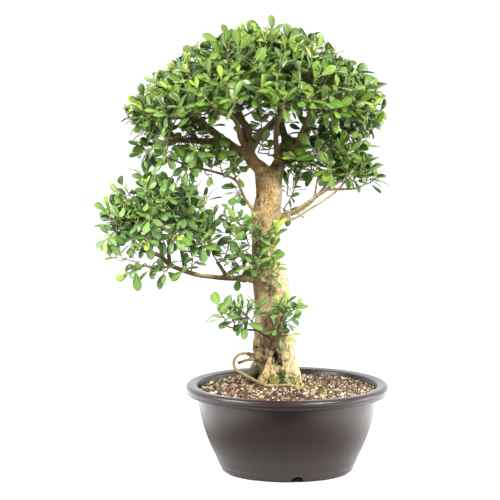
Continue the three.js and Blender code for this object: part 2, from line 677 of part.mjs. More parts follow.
/** A branchlet from the nearest bough to a spray's seat, which it meets head on. */
function branchlet(site) {
  const neck = site.start.clone().addScaledVector(site.toward, -NECK_LENGTH);
  const root = nearestWood(neck);
  const thick = Math.min(BRANCHLET_SHARE * root.radius, BRANCHLET_RADIUS + BRANCHLET_TAPER * root.gap);
  const foot = [...root.place.toArray(), Math.max(thick, SHOOT_FOOT_RADIUS)];
  const bend = [...neck.toArray(), BRANCHLET_RADIUS];
  const seat = [...site.start.toArray(), BRANCHLET_RADIUS];
  const way = neck.clone().sub(root.place).normalize();
  if (way.dot(site.toward) > 0.2) {
    return limb([foot, bend, seat], BRANCHLET_SIDES);
  }
  const heel = neck.clone().addScaledVector(site.toward, -0.2 * NECK_LENGTH);
  const rise = limb([[...heel.toArray(), BRANCHLET_RADIUS], seat], BRANCHLET_SIDES);
  return limb([foot, bend], BRANCHLET_SIDES).add(rise);
}

/** A named mesh of a solid. */
function named(name, solid, material) {
  const mesh = new THREE.Mesh(geometryOf(solid), material);
  mesh.name = name;
  return mesh;
}

/** The woody body: trunk, root columns, loop root, boughs and the branchlets to all the sprays. */
function woodyBody(sites) {
  const boughs = Object.values(BOUGHS).map((stations) => {
    const sides = stations[0][3] > THICK_BOUGH_RADIUS ? BOUGH_SIDES : TWIG_SIDES;
    return limb(stations, sides);
  });
  return largestBody(joined([rootwork(), ...boughs, ...sites.map(branchlet)]));
}

/** A spray for each site, clear of the wood and of every spray before it. */
function foliage(sites, wood) {
  const random = randomFrom(FOLIAGE_SEED);
  const placed = [];
  sites.forEach((site) => {
    for (let attempt = 0; attempt < PLACING_TRIES; attempt += 1) {
      const candidate = spray(site, random, attempt / PLACING_TRIES);
      const clear = candidate !== null && !crosses(candidate, wood)
        && !placed.some(({ solid }) => crosses(candidate, solid));
      if (clear) {
        placed.push({ name: site.name, solid: candidate });
        return;
      }
    }
    throw new Error(`no room for ${site.name}`);
  });
  return placed;
}

const sites = allSites();
const wood = woodyBody(sites);
const plant = new THREE.Group();
plant.add(named('pot', pot(), MATERIALS.pot));
plant.add(named('soil', soil(rootwork(SOIL_GAP)), MATERIALS.soil));
plant.add(named('trunk', wood, MATERIALS.bark));
foliage(sites, wood).forEach(({ name, solid }) => plant.add(named(name, solid, MATERIALS.leaf)));

const box = new THREE.Box3().setFromObject(plant);
plant.position.set(-(box.min.x + box.max.x) / 2, -(box.min.y + box.max.y) / 2, -box.min.z);

export default plant;
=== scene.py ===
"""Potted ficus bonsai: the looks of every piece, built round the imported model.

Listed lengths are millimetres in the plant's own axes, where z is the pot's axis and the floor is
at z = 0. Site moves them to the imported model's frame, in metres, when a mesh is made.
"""

from __future__ import annotations

import json
import logging
import math
from dataclasses import dataclass, field
from enum import Enum

import bmesh
import bpy
import numpy as np
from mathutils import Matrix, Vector, noise

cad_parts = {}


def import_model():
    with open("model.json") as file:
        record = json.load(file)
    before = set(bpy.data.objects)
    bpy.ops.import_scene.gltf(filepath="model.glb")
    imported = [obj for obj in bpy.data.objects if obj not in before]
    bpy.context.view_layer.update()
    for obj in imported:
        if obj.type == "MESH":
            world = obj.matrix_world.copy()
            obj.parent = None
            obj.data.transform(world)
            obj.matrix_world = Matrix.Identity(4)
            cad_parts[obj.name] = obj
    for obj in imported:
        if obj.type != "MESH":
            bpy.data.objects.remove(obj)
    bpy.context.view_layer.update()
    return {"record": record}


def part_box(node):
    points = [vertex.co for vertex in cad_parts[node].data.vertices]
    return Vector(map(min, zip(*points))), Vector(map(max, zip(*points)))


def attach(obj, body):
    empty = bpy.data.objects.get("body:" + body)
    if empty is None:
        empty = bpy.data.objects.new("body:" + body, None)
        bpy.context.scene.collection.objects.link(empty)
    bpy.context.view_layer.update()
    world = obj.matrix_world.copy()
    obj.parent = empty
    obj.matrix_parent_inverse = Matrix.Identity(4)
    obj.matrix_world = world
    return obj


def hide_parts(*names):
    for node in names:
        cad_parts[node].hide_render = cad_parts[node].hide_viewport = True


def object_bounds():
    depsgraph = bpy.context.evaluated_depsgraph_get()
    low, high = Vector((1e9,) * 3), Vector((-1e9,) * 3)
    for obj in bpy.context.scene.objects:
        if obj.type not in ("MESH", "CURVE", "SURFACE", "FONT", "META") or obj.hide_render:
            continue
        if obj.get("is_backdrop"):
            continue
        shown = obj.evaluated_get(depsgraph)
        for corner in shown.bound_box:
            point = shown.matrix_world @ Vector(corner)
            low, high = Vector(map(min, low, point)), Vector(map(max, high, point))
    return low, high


LOG = logging.getLogger("bonsai")
MM = 0.001
GOLDEN_ANGLE = math.pi * (3 - math.sqrt(5))
UP = np.array([0.0, 0.0, 1.0])
SEED = 4107

Piece = bpy.types.Object
Mesh = bpy.types.Mesh
Node = bpy.types.Node
Socket = bpy.types.NodeSocket
Random = np.random.Generator
Colour = tuple[float, float, float, float]
Triple = tuple[float, float, float]
Stations = list[tuple[float, float, float, float]]
Spots = list[tuple[float, Triple, Triple]]

# The trunk's middle line: x, y, z, radius and the depth of its fluting
TRUNK = [
    (-17, 6, 146, 30, 0.10), (-20, 5, 212, 27, 0.12), (-24, 4, 238, 28, 0.10), (-28, 3, 262, 31, 0.08),
    (-32, 1, 285, 31, 0.07), (-32, -1, 312, 31, 0.06), (-30, -2, 340, 35, 0.06), (-29, -3, 362, 37, 0.07),
    (-34, -3, 386, 34, 0.07), (-40, 0, 414, 29, 0.08), (-45, 3, 446, 25, 0.06), (-46, 5, 468, 25.5, 0.05),
    (-45, 6, 496, 29, 0.06), (-39, 6, 524, 27, 0.05), (-37, 5, 552, 25.5, 0.04), (-37, 4, 580, 26, 0.05),
    (-37, 4, 595, 27.5, 0.09),
]
TRUNK_TOP = 606
SOIL_LINE = 173

# Where wood goes into the soil: circles of x, y and radius
TRUNK_FOOT = [
    (-17, 6, 26), (16, -3, 14), (-50, -2, 13), (-52, -43, 8), (-26, -34, 10), (-46, 43, 13), (17, 41, 12),
]

# Root columns, knobs, the cut stub and the collar round the trunk: x, y, z, radius
COLUMNS: dict[str, Stations] = {
    "right": [(-18, -5, 292, 12), (-12, -8, 264, 16), (-5, -10, 236, 17.5), (0, -9, 208, 17.5), (5, -6, 182, 17),
              (10, -4, 146, 18)],
    "left": [(-44, -3, 296, 14), (-49, -5, 262, 15), (-46, -8, 228, 14), (-44, -8, 200, 14),
             (-47, -4, 172, 15), (-50, -2, 146, 15)],
    "splint": [(-34, -38, 236, 3.5), (-38, -45, 216, 6), (-46, -51, 190, 7.5), (-52, -52, 174, 8),
               (-54, -50, 146, 8)],
    "lump": [(-26, -18, 218, 5), (-28, -26, 204, 9), (-28, -32, 190, 11), (-27, -35, 170, 12),
             (-27, -35, 146, 12)],
    "moss_mound": [(-11, -18, 208, 5), (-10, -25, 196, 8), (-8, -31, 184, 10), (-8, -34, 168, 11),
                   (-8, -34, 150, 11)],
    "left_buttress": [(-48, -4, 226, 9), (-60, -10, 206, 8), (-71, -16, 187, 8), (-82, -22, 166, 7),
                      (-86, -24, 152, 6)],
    "loop_stub": [(-48, -18, 226, 5), (-64, -34, 228, 4), (-78, -40, 226, 3.4), (-90, -45, 223, 3.3),
                  (-98, -49, 220, 3.4)],
    "back_left": [(-34, 22, 268, 14), (-36, 33, 222, 16), (-43, 40, 174, 16), (-46, 43, 146, 15)],
    "back_right": [(-2, 20, 262, 14), (6, 31, 214, 15), (14, 38, 174, 15), (17, 41, 146, 14)],
    "knob": [(-40, -6, 262, 8), (-56, -9, 253, 11), (-61, -10, 243, 6)],
    "stub": [(-40, -8, 224, 8), (-56, -16, 228, 4.5), (-63, -19, 231, 3.5)],
    "top_collar": [(-30, 2, 574, 12), (-17, 0, 592, 10), (-13, -1, 606, 4)],
}

# The aerial root that leaves the trunk, turns back and runs over the soil in front of it
LOOP_ROOT: Stations = [
    (-48, -16, 226, 5), (-66, -34, 233, 3.4), (-76, -42, 238, 3.2), (-86, -47, 240, 3.2), (-98, -52, 237, 3.2),
    (-105, -56, 228, 3.3), (-105.5, -59, 218, 3.4), (-100, -62, 209, 3.6), (-86, -66, 201, 3.8),
    (-66, -69, 190, 4), (-50, -70, 182, 4), (-40, -69, 179, 4), (-25, -65, 178, 3.9), (-8, -60, 178, 3.8),
    (8, -57, 177, 3.7), (26, -60, 172, 3.6), (40, -63, 167, 3.4), (52, -66, 160, 3.2),
]

# Stems and boughs from the trunk outwards: x, y, z, radius
BOUGHS: dict[str, Stations] = {
    "crown_stem": [(-38, 2, 562, 19), (-48, -2, 594, 17), (-66, -4, 612, 14), (-76, -6, 632, 12),
                   (-75, -8, 648, 10)],
    "crown_rise": [(-74, -8, 638, 10), (-60, -8, 660, 8), (-44, -6, 677, 7.5), (-25, -2, 697, 6.5),
                   (-5, 4, 722, 6), (4, 10, 762, 4.5)],
    "crown_left_rise": [(-76, -8, 640, 8), (-76, -10, 664, 7), (-84, -14, 687, 6), (-109, -20, 703, 5.5),
                        (-140, -24, 716, 5)],
    "crown_back": [(-79, -8, 640, 8), (-77, 22, 676, 7), (-92, 66, 696, 6), (-118, 110, 712, 5),
                   (-134, 138, 734, 4)],
    "crown_front": [(-80, -9, 640, 7), (-92, -42, 662, 6), (-98, -82, 690, 5), (-112, -118, 712, 4)],
    "crown_far": [(-77, -6, 644, 7), (-90, 8, 700, 6), (-124, 6, 776, 4)],
    "left_upper": [(-80, -8, 626, 10), (-109, -20, 646, 9), (-135, -34, 666, 8), (-160, -42, 686, 7),
                   (-200, -58, 712, 5), (-226, -66, 736, 4)],
    "left_long": [(-133, -31, 660, 7), (-157, -10, 655, 7), (-181, 10, 656, 6.5), (-223, 28, 659, 6),
                  (-247, 36, 672, 5), (-284, 46, 698, 4)],
    "left_fork": [(-222, 28, 659, 5), (-236, 8, 678, 4.5), (-254, -14, 700, 4)],
    "left_back": [(-178, 8, 656, 5.5), (-196, 52, 680, 5), (-206, 96, 706, 4)],
    "right_stem": [(-30, 6, 570, 14), (-24, 8, 600, 12), (-12, 10, 628, 9), (-5, 12, 656, 7.5),
                   (-12, 16, 694, 6.5), (-6, 36, 726, 5.5), (2, 60, 754, 4)],
    "right_front": [(-18, 6, 606, 8), (-22, -16, 640, 6), (-24, -56, 676, 5), (-18, -104, 706, 4)],
    "right_mid": [(-17, 8, 608, 8), (4, -10, 628, 7), (22, -34, 660, 6), (32, -56, 688, 5),
                  (44, -92, 722, 4)],
    "right_inner": [(22, -34, 660, 5), (66, -16, 740, 4)],
    "right_low": [(-16, 10, 606, 8.5), (5, 20, 626, 7.5), (25, 28, 641, 7), (54, 38, 648, 6.5),
                  (92, 42, 676, 5.5), (132, 38, 700, 4)],
    "right_back": [(25, 28, 641, 6), (44, 72, 672, 5), (62, 118, 708, 4)],
    "side_right": [(-28, 6, 502, 9), (-10, 4, 507, 6.5), (8, 0, 513, 4.8), (22, -6, 522, 4.3),
                   (44, -14, 538, 4.1), (64, -22, 553, 4), (88, -30, 570, 4), (112, -40, 587, 3.6),
                   (134, -45, 612, 3)],
    "side_right_strand": [(-10, 0, 500, 5), (6, -5, 501, 3.2), (22, -14, 508, 2.7), (44, -20, 523, 2.6),
                          (72, -30, 541, 2.6), (96, -36, 560, 2.5), (112, -41, 578, 2.5)],
    "side_right_outer": [(78, -27, 562, 3.4), (104, -24, 562, 3), (128, -16, 562, 2.6), (148, -14, 568, 2.4)],
    "side_right_rise": [(52, -17, 544, 3), (56, -14, 566, 2.5), (60, -12, 588, 2.4)],
    "side_right_twin": [(8, 4, 511, 4), (28, 16, 517, 3.4), (50, 36, 534, 3.2), (80, 54, 566, 3)],
    "side_left": [(-54, 4, 510, 6), (-73, 0, 526, 3.8), (-87, -10, 549, 3.5), (-101, -15, 578, 3.2),
                  (-130, -25, 592, 3.1), (-162, -30, 601, 2.9), (-200, -35, 611, 2.6), (-240, -35, 627, 2.4)],
    "pad_main": [(-46, -4, 384, 9), (-66, -6, 383, 6.6), (-88, -15, 385, 5.6), (-118, -25, 386, 5.2),
                 (-152, -30, 390, 5), (-184, -30, 395, 4.9), (-230, -20, 411, 4.8), (-252, -10, 429, 4.7),
                 (-280, 2, 437, 4.8), (-300, 5, 450, 4), (-309, 5, 476, 3.5)],
    "pad_back": [(-200, -27, 401, 5), (-208, 10, 426, 4.5), (-214, 44, 456, 4)],
    "pad_rise": [(-232, -19, 412, 4.5), (-234, -30, 446, 4), (-220, -34, 480, 3.5)],
    "pad_inner": [(-118, -25, 386, 4.5), (-130, -28, 406, 4), (-140, -24, 420, 3.5)],
    "pad_twig": [(-224, -20, 409, 3), (-262, -38, 408, 2.6), (-280, -44, 413, 2.4)],
    "mid_twig": [(-54, -2, 484, 6), (-68, -8, 486, 4), (-80, -16, 486, 3)],
    "mid_rise": [(-86, -14, 385, 5), (-86, -30, 390, 4), (-86, -38, 394, 3.5)],
    "front_twig": [(-42, -20, 364, 4.5), (-41, -42, 369, 3.4)],
    "low_stem": [(-33, -24, 226, 5), (-36, -42, 236, 4), (-34, -54, 252, 3.4), (-27, -60, 272, 3.2),
                 (-16, -64, 298, 2.9), (-10, -64, 318, 2.4)],
    "low_left": [(-28, -59, 270, 3.4), (-42, -64, 277, 3), (-60, -68, 290, 2.8), (-72, -72, 310, 2.3)],
    "low_twig": [(-60, -68, 289, 2.6), (-84, -74, 291, 2.3), (-104, -79, 294, 2.2), (-122, -84, 300, 2)],
}

# Soft spots on the woody body: how strong, the middle, and the reach along each axis
SLITS: Spots = [
    (1, (-51, -20, 494), (2.2, 14, 9)), (1, (-58, -14, 533), (2.5, 14, 5)), (1, (-60, -8, 548), (2.5, 12, 4)),
    (2, (-22, -30, 228), (5, 16, 14)), (1, (-30, -22, 454), (2.2, 12, 8)), (0.8, (-44, -30, 236), (5, 12, 5)),
    (0.9, (-58, -24, 205), (5, 10, 12)), (0.6, (-17, -34, 214), (3, 14, 12)),
]
FIBRES: Spots = [(1, (-41, -34, 376), (11, 12, 13)), (1, (-62, -14, 266), (14, 20, 24))]
SPLINT_SKIN: Spots = [(1, (-41, -52, 212), (9, 12, 20)), (1, (-51, -66, 182), (10, 12, 18))]
MOSSY_SKIN: Spots = [(0.9, (-8, -38, 190), (12, 14, 16))]
CUT_ENDS: Spots = [(1, (-21, -4, 604), (11, 16, 8)), (1.2, (-99, -51, 221), (5, 6, 6))]
ROOT_SHADE: Spots = [(1.3, (-68, -26, 188), (14, 24, 24))]
STUB_SHADE: Spots = [(0.7, (-96, -49, 221), (9, 5, 5))]


def unit(vectors: np.ndarray) -> np.ndarray:
    """Vectors scaled to length one.

    Args:
        vectors: One vector or rows of them.

    Returns:
        The same directions with length one.
    """
    return vectors / np.maximum(np.linalg.norm(vectors, axis=-1, keepdims=True), 1e-9)


def smooth_path(stations: np.ndarray, per_span: int) -> np.ndarray:
    """A Catmull-Rom line through stations.

    Args:
        stations: Rows of numbers that are all smoothed alike, such as x, y, z and radius.
        per_span: Steps between two stations.

    Returns:
        Rows of the finer line, from the first station to the last.
    """
    padded = np.vstack([2 * stations[0] - stations[1], stations, 2 * stations[-1] - stations[-2]])
    rows = []
    for before, start, end, after in zip(padded, padded[1:], padded[2:], padded[3:]):
        for step in range(per_span):
            t = step / per_span
            bent = (2 * before - 5 * start + 4 * end - after) * t * t
            rows.append(0.5 * (2 * start + (end - before) * t + bent
                               + (3 * start - before - 3 * end + after) * t ** 3))
    return np.vstack(rows + [stations[-1]])


@dataclass(frozen=True)
class Site:
    """Where the pot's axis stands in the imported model's frame, in metres."""

    axis_x: float
    axis_y: float
    low: np.ndarray
    high: np.ndarray

    @classmethod
    def from_pot(cls) -> Site:
        """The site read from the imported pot's box and the whole model's box.

        Returns:
            The site.
        """
        low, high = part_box("pot")
        packed_low, packed_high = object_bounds()
        return cls((low[0] + high[0]) / 2, (low[1] + high[1]) / 2, np.array(packed_low), np.array(packed_high))

    def to_frame(self, points: np.ndarray) -> np.ndarray:
        """Points of the plant's own axes, in millimetres, as points of the frame in metres.

        Args:
            points: One point or rows of them.

        Returns:
            The same places in the frame.
        """
        moved = np.array(points, dtype=float) * MM
        moved[..., 0] += self.axis_x
        moved[..., 1] += self.axis_y
        return moved

    def to_plant(self, points: np.ndarray) -> np.ndarray:
        """Points of the frame as points of the plant's own axes, in millimetres.

        Args:
            points: One point or rows of them.

        Returns:
            The same places in the plant's axes.
        """
        moved = np.array(points, dtype=float)
        moved[..., 0] -= self.axis_x
        moved[..., 1] -= self.axis_y
        return moved / MM


class Bench:
    """Steps at the work bench that every piece shares."""

    @staticmethod
    def clear() -> None:
        """Leaves edit mode and deselects everything."""
        if bpy.context.object is not None and bpy.context.object.mode != "OBJECT":
            bpy.ops.object.mode_set(mode="OBJECT")
        bpy.ops.object.select_all(action="DESELECT")

    @staticmethod
    def pick(*pieces: Piece) -> None:
        """Selects only the given objects and makes the first one active."""
        Bench.clear()
        for piece in pieces:
            piece.select_set(True)
        bpy.context.view_layer.objects.active = pieces[0]

    @staticmethod
    def finish_modifiers(piece: Piece) -> None:
        """Applies all the modifiers of a piece, in order.

        Args:
            piece: The piece.
        """
        Bench.pick(piece)
        for modifier in list(piece.modifiers):
            bpy.ops.object.modifier_apply(modifier=modifier.name)

    @staticmethod
    def place_in_mesh(piece: Piece) -> None:
        """Moves a piece's place, turn and size into its mesh."""
        Bench.pick(piece)
        bpy.ops.object.transform_apply(location=True, rotation=True, scale=True)

    @staticmethod
    def cut(piece: Piece, cutter: Piece) -> None:
        """Cuts one closed shape out of a piece and removes the cutter.

        Args:
            piece: The piece to cut.
            cutter: The shape to take away.
        """
        modifier = piece.modifiers.new("cut", "BOOLEAN")
        modifier.operation = "DIFFERENCE"
        modifier.object = cutter
        modifier.solver = "EXACT"
        Bench.finish_modifiers(piece)
        bpy.data.objects.remove(cutter, do_unlink=True)

    @staticmethod
    def spin(name: str, profile: np.ndarray, steps: int, site: Site) -> Piece:
        """A turned shape round the pot's axis.

        Args:
            name: The piece's name.
            profile: Rows of radius and height, in millimetres, of a closed outline or one that
                starts and ends on the axis.
            steps: Segments round the axis.
            site: Where the axis stands.

        Returns:
            The closed piece with its faces outward.
        """
        Bench.clear()
        bpy.ops.mesh.primitive_circle_add(vertices=len(profile), radius=1)
        piece = bpy.context.object
        piece.name = name
        piece.data.name = name
        for vertex, (radius, height) in zip(piece.data.vertices, profile):
            vertex.co = (radius * MM, 0.0, height * MM)
        bpy.ops.object.mode_set(mode="EDIT")
        bpy.ops.mesh.select_all(action="SELECT")
        bpy.ops.mesh.spin(steps=steps, angle=2 * math.pi, center=(0, 0, 0), axis=(0, 0, 1))
        bpy.ops.mesh.select_all(action="SELECT")
        bpy.ops.mesh.remove_doubles(threshold=1e-5)
        bpy.ops.mesh.normals_make_consistent(inside=False)
        bpy.ops.object.mode_set(mode="OBJECT")
        piece.location = (site.axis_x, site.axis_y, 0)
        Bench.place_in_mesh(piece)
        return piece


def coordinates(mesh: Mesh) -> np.ndarray:
    """The vertex places of a mesh as rows.

    Args:
        mesh: The mesh.

    Returns:
        Rows of x, y and z.
    """
    flat = np.empty(len(mesh.vertices) * 3)
    mesh.vertices.foreach_get("co", flat)
    return flat.reshape(-1, 3)


def put_coordinates(mesh: Mesh, points: np.ndarray) -> None:
    """Writes rows of places back to a mesh's vertices."""
    mesh.vertices.foreach_set("co", np.ascontiguousarray(points, dtype=np.float32).ravel())
    mesh.update()


def paint(mesh: Mesh, name: str, colours: np.ndarray) -> None:
    """Stores four numbers for each vertex as a colour attribute."""
    layer = mesh.attributes.new(name, "FLOAT_COLOR", "POINT")
    layer.data.foreach_set("color", np.ascontiguousarray(colours, dtype=np.float32).ravel())


def new_piece(name: str, points: np.ndarray, faces: list[list[int]]) -> Piece:
    """A smooth-shaded mesh object at the origin.

    Args:
        name: The piece's name.
        points: Rows of vertex places in metres.
        faces: The corners of each face.

    Returns:
        The new object.
    """
    mesh = bpy.data.meshes.new(name)
    mesh.from_pydata(points.tolist(), [], faces)
    mesh.shade_smooth()
    piece = bpy.data.objects.new(name, mesh)
    bpy.context.scene.collection.objects.link(piece)
    return piece


def ripple(points: np.ndarray, scale: Triple, shift: float = 0.0) -> np.ndarray:
    """Smooth noise from -1 to 1 at each point.

    Args:
        points: Rows in millimetres.
        scale: The length in millimetres over which the noise changes, along each axis.
        shift: Moves the noise, so that two layers differ.

    Returns:
        One number for each point.
    """
    scaled = points / np.array(scale) + shift
    return np.array([noise.noise(Vector(row)) for row in scaled])


class Wiring:
    """A hand for one node tree."""

    def __init__(self, tree: bpy.types.NodeTree) -> None:
        """Starts with an empty tree.

        Args:
            tree: The material's or group's node tree.
        """
        self.tree = tree
        tree.nodes.clear()

    def add(self, kind: str, inputs: dict | None = None, **settings: object) -> Node:
        """A new node.

        Args:
            kind: The node's type name without its ShaderNode prefix.
            inputs: Input sockets by name or number: a value to set, or a socket to link from.
            settings: Properties of the node.

        Returns:
            The node.
        """
        node = self.tree.nodes.new(kind if kind.startswith("Node") else f"ShaderNode{kind}")
        for key, value in settings.items():
            setattr(node, key, value)
        for key, value in (inputs or {}).items():
            if isinstance(value, Socket):
                self.tree.links.new(value, node.inputs[key])
            else:
                node.inputs[key].default_value = value
        return node

    def math(self, operation: str, first: object, second: object = 0.0, clamp: bool = False) -> Socket:
        """The result of a Math node on two values or sockets."""
        return self.add("Math", {0: first, 1: second}, operation=operation, use_clamp=clamp).outputs[0]

    def times(self, first: object, second: object, clamp: bool = False) -> Socket:
        """The product of two values or sockets."""
        return self.math("MULTIPLY", first, second, clamp)

    def plus(self, first: object, second: object) -> Socket:
        """The sum of two values or sockets."""
        return self.math("ADD", first, second)

    def mix(self, factor: object, first: object, second: object, blend: str = "MIX") -> Socket:
        """The colour between two colours or sockets."""
        node = self.add("Mix", {0: factor, 6: first, 7: second}, data_type="RGBA", blend_type=blend)
        return node.outputs[2]

    def steps(self, value: object, low: float, high: float) -> Socket:
        """A value that rises smoothly from 0 at low to 1 at high.

        Args:
            value: A socket or a number.
            low: Where the rise starts.
            high: Where it ends.

        Returns:
            The socket of the value.
        """
        node = self.add("MapRange", {"Value": value, "From Min": low, "From Max": high},
                        interpolation_type="SMOOTHSTEP")
        return node.outputs[0]

    def mottle(self, scale: float, stretch: Triple = (1, 1, 1), detail: float = 3.0,
               shift: float = 0.0) -> Socket:
        """A mottle from the shared group, from 0 to 1.

        Args:
            scale: Patches in a metre.
            stretch: How much finer the patches are along each axis.
            detail: Levels of finer noise.
            shift: Moves the pattern.

        Returns:
            The group's value socket.
        """
        given = {"Scale": scale, "Stretch": stretch, "Detail": detail, "Shift": shift}
        return self.add("Group", given, node_tree=mottle_group()).outputs["Value"]


def mottle_group() -> bpy.types.NodeTree:
    """The shared group that makes mottled patches on a piece's own coordinates.

    Returns:
        The group, made at its first use.
    """
    known = bpy.data.node_groups.get("mottle")
    if known is not None:
        return known
    group = bpy.data.node_groups.new("mottle", "ShaderNodeTree")
    for name, kind in (("Scale", "Float"), ("Stretch", "Vector"), ("Detail", "Float"), ("Shift", "Float")):
        group.interface.new_socket(name, in_out="INPUT", socket_type=f"NodeSocket{kind}")
    group.interface.new_socket("Value", in_out="OUTPUT", socket_type="NodeSocketFloat")
    wiring = Wiring(group)
    given = wiring.add("NodeGroupInput")
    place = wiring.add("TexCoord").outputs["Object"]
    moved = wiring.add("VectorMath", {0: place, 1: given.outputs["Shift"]}, operation="ADD").outputs[0]
    factors = {0: moved, 1: given.outputs["Stretch"]}
    stretched = wiring.add("VectorMath", factors, operation="MULTIPLY").outputs[0]
    cloud = wiring.add("TexNoise", {"Vector": stretched, "Scale": given.outputs["Scale"],
                                    "Detail": given.outputs["Detail"], "Roughness": 0.6})
    value = wiring.steps(cloud.outputs["Fac"], 0.3, 0.7)
    wiring.add("NodeGroupOutput", {"Value": value})
    return group


class Finish:
    """A finish that is made once as a material and then shared."""

    title = "finish"

    def material(self) -> bpy.types.Material:
        """The material of this finish.

        Returns:
            The material, made at its first use.
        """
        known = bpy.data.materials.get(self.title)
        if known is not None:
            return known
        made = bpy.data.materials.new(self.title)
        made.use_nodes = True
        wiring = Wiring(made.node_tree)
        shader = wiring.add("BsdfPrincipled")
        wiring.add("OutputMaterial", {"Surface": shader.outputs[0]})
        self.wire(wiring, shader)
        return made

    def wire(self, wiring: Wiring, shader: Node) -> None:
        """Wires the pattern to the shader; each finish has its own."""
        raise NotImplementedError

    @staticmethod
    def skin(wiring: Wiring, shader: Node, colour: Socket, roughness: float,
             specular: float = 0.5) -> None:
        """Links the shader's colour and sets its roughness and its specular level.

        Args:
            wiring: The hand for the material's tree.
            shader: The material's own shader.
            colour: The colour's socket.
            roughness: 0 for a mirror, 1 for a dull skin.
            specular: The specular level.
        """
        wiring.tree.links.new(colour, shader.inputs["Base Color"])
        shader.inputs["Roughness"].default_value = roughness
        shader.inputs["Specular IOR Level"].default_value = specular

    @staticmethod
    def bump(wiring: Wiring, shader: Node, height: Socket, depth: float) -> None:
        """Feeds a height in units of depth, in metres, to the shader's normal."""
        node = wiring.add("Bump", {"Height": height, "Strength": 1.0, "Distance": depth})
        wiring.tree.links.new(node.outputs[0], shader.inputs["Normal"])


@dataclass(frozen=True)
class PotPlastic(Finish):
    """Dark brown-mauve moulded plastic with a satin skin and a little dust."""

    title: str = "pot_satin_plastic"
    body: Colour = (0.0195, 0.0105, 0.0094, 1)
    dusty: Colour = (0.032, 0.021, 0.019, 1)
    roughness_low: float = 0.30
    roughness_high: float = 0.34

    def wire(self, wiring: Wiring, shader: Node) -> None:
        """Wires faint cloudy dust, fine scratches and a moulded skin.

        Args:
            wiring: The hand for the material's tree.
            shader: The material's own shader.
        """
        cloud = wiring.mottle(9, (1, 1, 0.6), 4)
        fine = wiring.mottle(900, (1, 1, 1), 2)
        scratch = wiring.mottle(60, (1, 1, 9), 3, 3.1)
        dust = wiring.times(wiring.steps(wiring.mottle(34, (1, 1, 0.8), 5, 1.7), 0.55, 1.0), 0.35)
        colour = wiring.mix(wiring.times(cloud, 0.35), self.body, self.dusty)
        self.skin(wiring, shader, wiring.mix(dust, colour, self.dusty), self.roughness_low, 0.36)
        spread = self.roughness_high - self.roughness_low
        rough = wiring.plus(wiring.times(cloud, spread), self.roughness_low)
        rough = wiring.plus(rough, wiring.times(scratch, 0.015))
        wiring.tree.links.new(rough, shader.inputs["Roughness"])
        self.bump(wiring, shader, fine, 0.00006)


@dataclass(frozen=True)
class Bark(Finish):
    """Ficus bark: tone gives golden, pale and green shares, the pale one with painted light on the tops of the
    boughs, and its fourth number a near-black share: painted shade in slits, furrows and pits and behind the
    roots, and darker wood.
    """

    title: str = "ficus_bark"
    grey_brown: Colour = (0.235, 0.160, 0.085, 1)
    umber: Colour = (0.085, 0.056, 0.034, 1)
    golden: Colour = (0.400, 0.232, 0.058, 1)
    cream: Colour = (0.860, 0.690, 0.390, 1)
    green: Colour = (0.210, 0.215, 0.060, 1)
    freckle: Colour = (0.220, 0.095, 0.040, 1)
    dark_and_shade: Colour = (0.045, 0.028, 0.016, 1)

    def wire(self, wiring: Wiring, shader: Node) -> None:
        """Wires the zones, the streaks along the wood, freckles and cracks.

        Args:
            wiring: The hand for the material's tree.
            shader: The material's own shader.
        """
        tone = wiring.add("Attribute", attribute_name="bark_tone")
        parts = wiring.add("SeparateColor", {0: tone.outputs["Color"]})
        streak = wiring.mottle(150, (1, 1, 0.16), 4)
        patch = wiring.mottle(45, (1, 1, 0.7), 4, 2.3)
        fine = wiring.mottle(420, (1, 1, 0.7), 3, 5.9)
        colour = wiring.mix(streak, self.umber, self.grey_brown)
        golden = wiring.mix(wiring.times(patch, 0.4), self.golden, self.cream)
        colour = wiring.mix(parts.outputs[0], colour, golden)
        pale = wiring.times(parts.outputs[1], wiring.plus(wiring.times(patch, 0.7), 0.5), clamp=True)
        colour = wiring.mix(pale, colour, self.cream)
        speck = wiring.steps(wiring.mottle(230, (1, 1, 0.6), 3, 8.2), 0.55, 0.95)
        speck = wiring.times(wiring.times(speck, parts.outputs[0]), 0.75)
        colour = wiring.mix(speck, colour, self.freckle)
        green = wiring.times(parts.outputs[2], wiring.plus(patch, 0.25), clamp=True)
        colour = wiring.mix(green, colour, self.green)
        crack = wiring.times(wiring.steps(wiring.mottle(230, (1, 1, 0.4), 5, 4.4), 0.45, 0.05), 0.55)
        colour = wiring.mix(crack, colour, self.umber)
        # the fourth number mixes in near-black: painted shade in slits, furrows, pits and behind the roots,
        # along with the darker stems and cut ends
        colour = wiring.mix(tone.outputs["Alpha"], colour, self.dark_and_shade)
        shaded = wiring.mix(wiring.times(fine, 0.28), colour, (0.12, 0.08, 0.05, 1), "MULTIPLY")
        self.skin(wiring, shader, shaded, 0.82, 0.2)
        height = wiring.plus(wiring.times(streak, 0.6), wiring.times(fine, 0.4))
        height = wiring.math("SUBTRACT", wiring.math("SUBTRACT", height, crack), wiring.times(speck, 0.5))
        self.bump(wiring, shader, height, 0.0009)


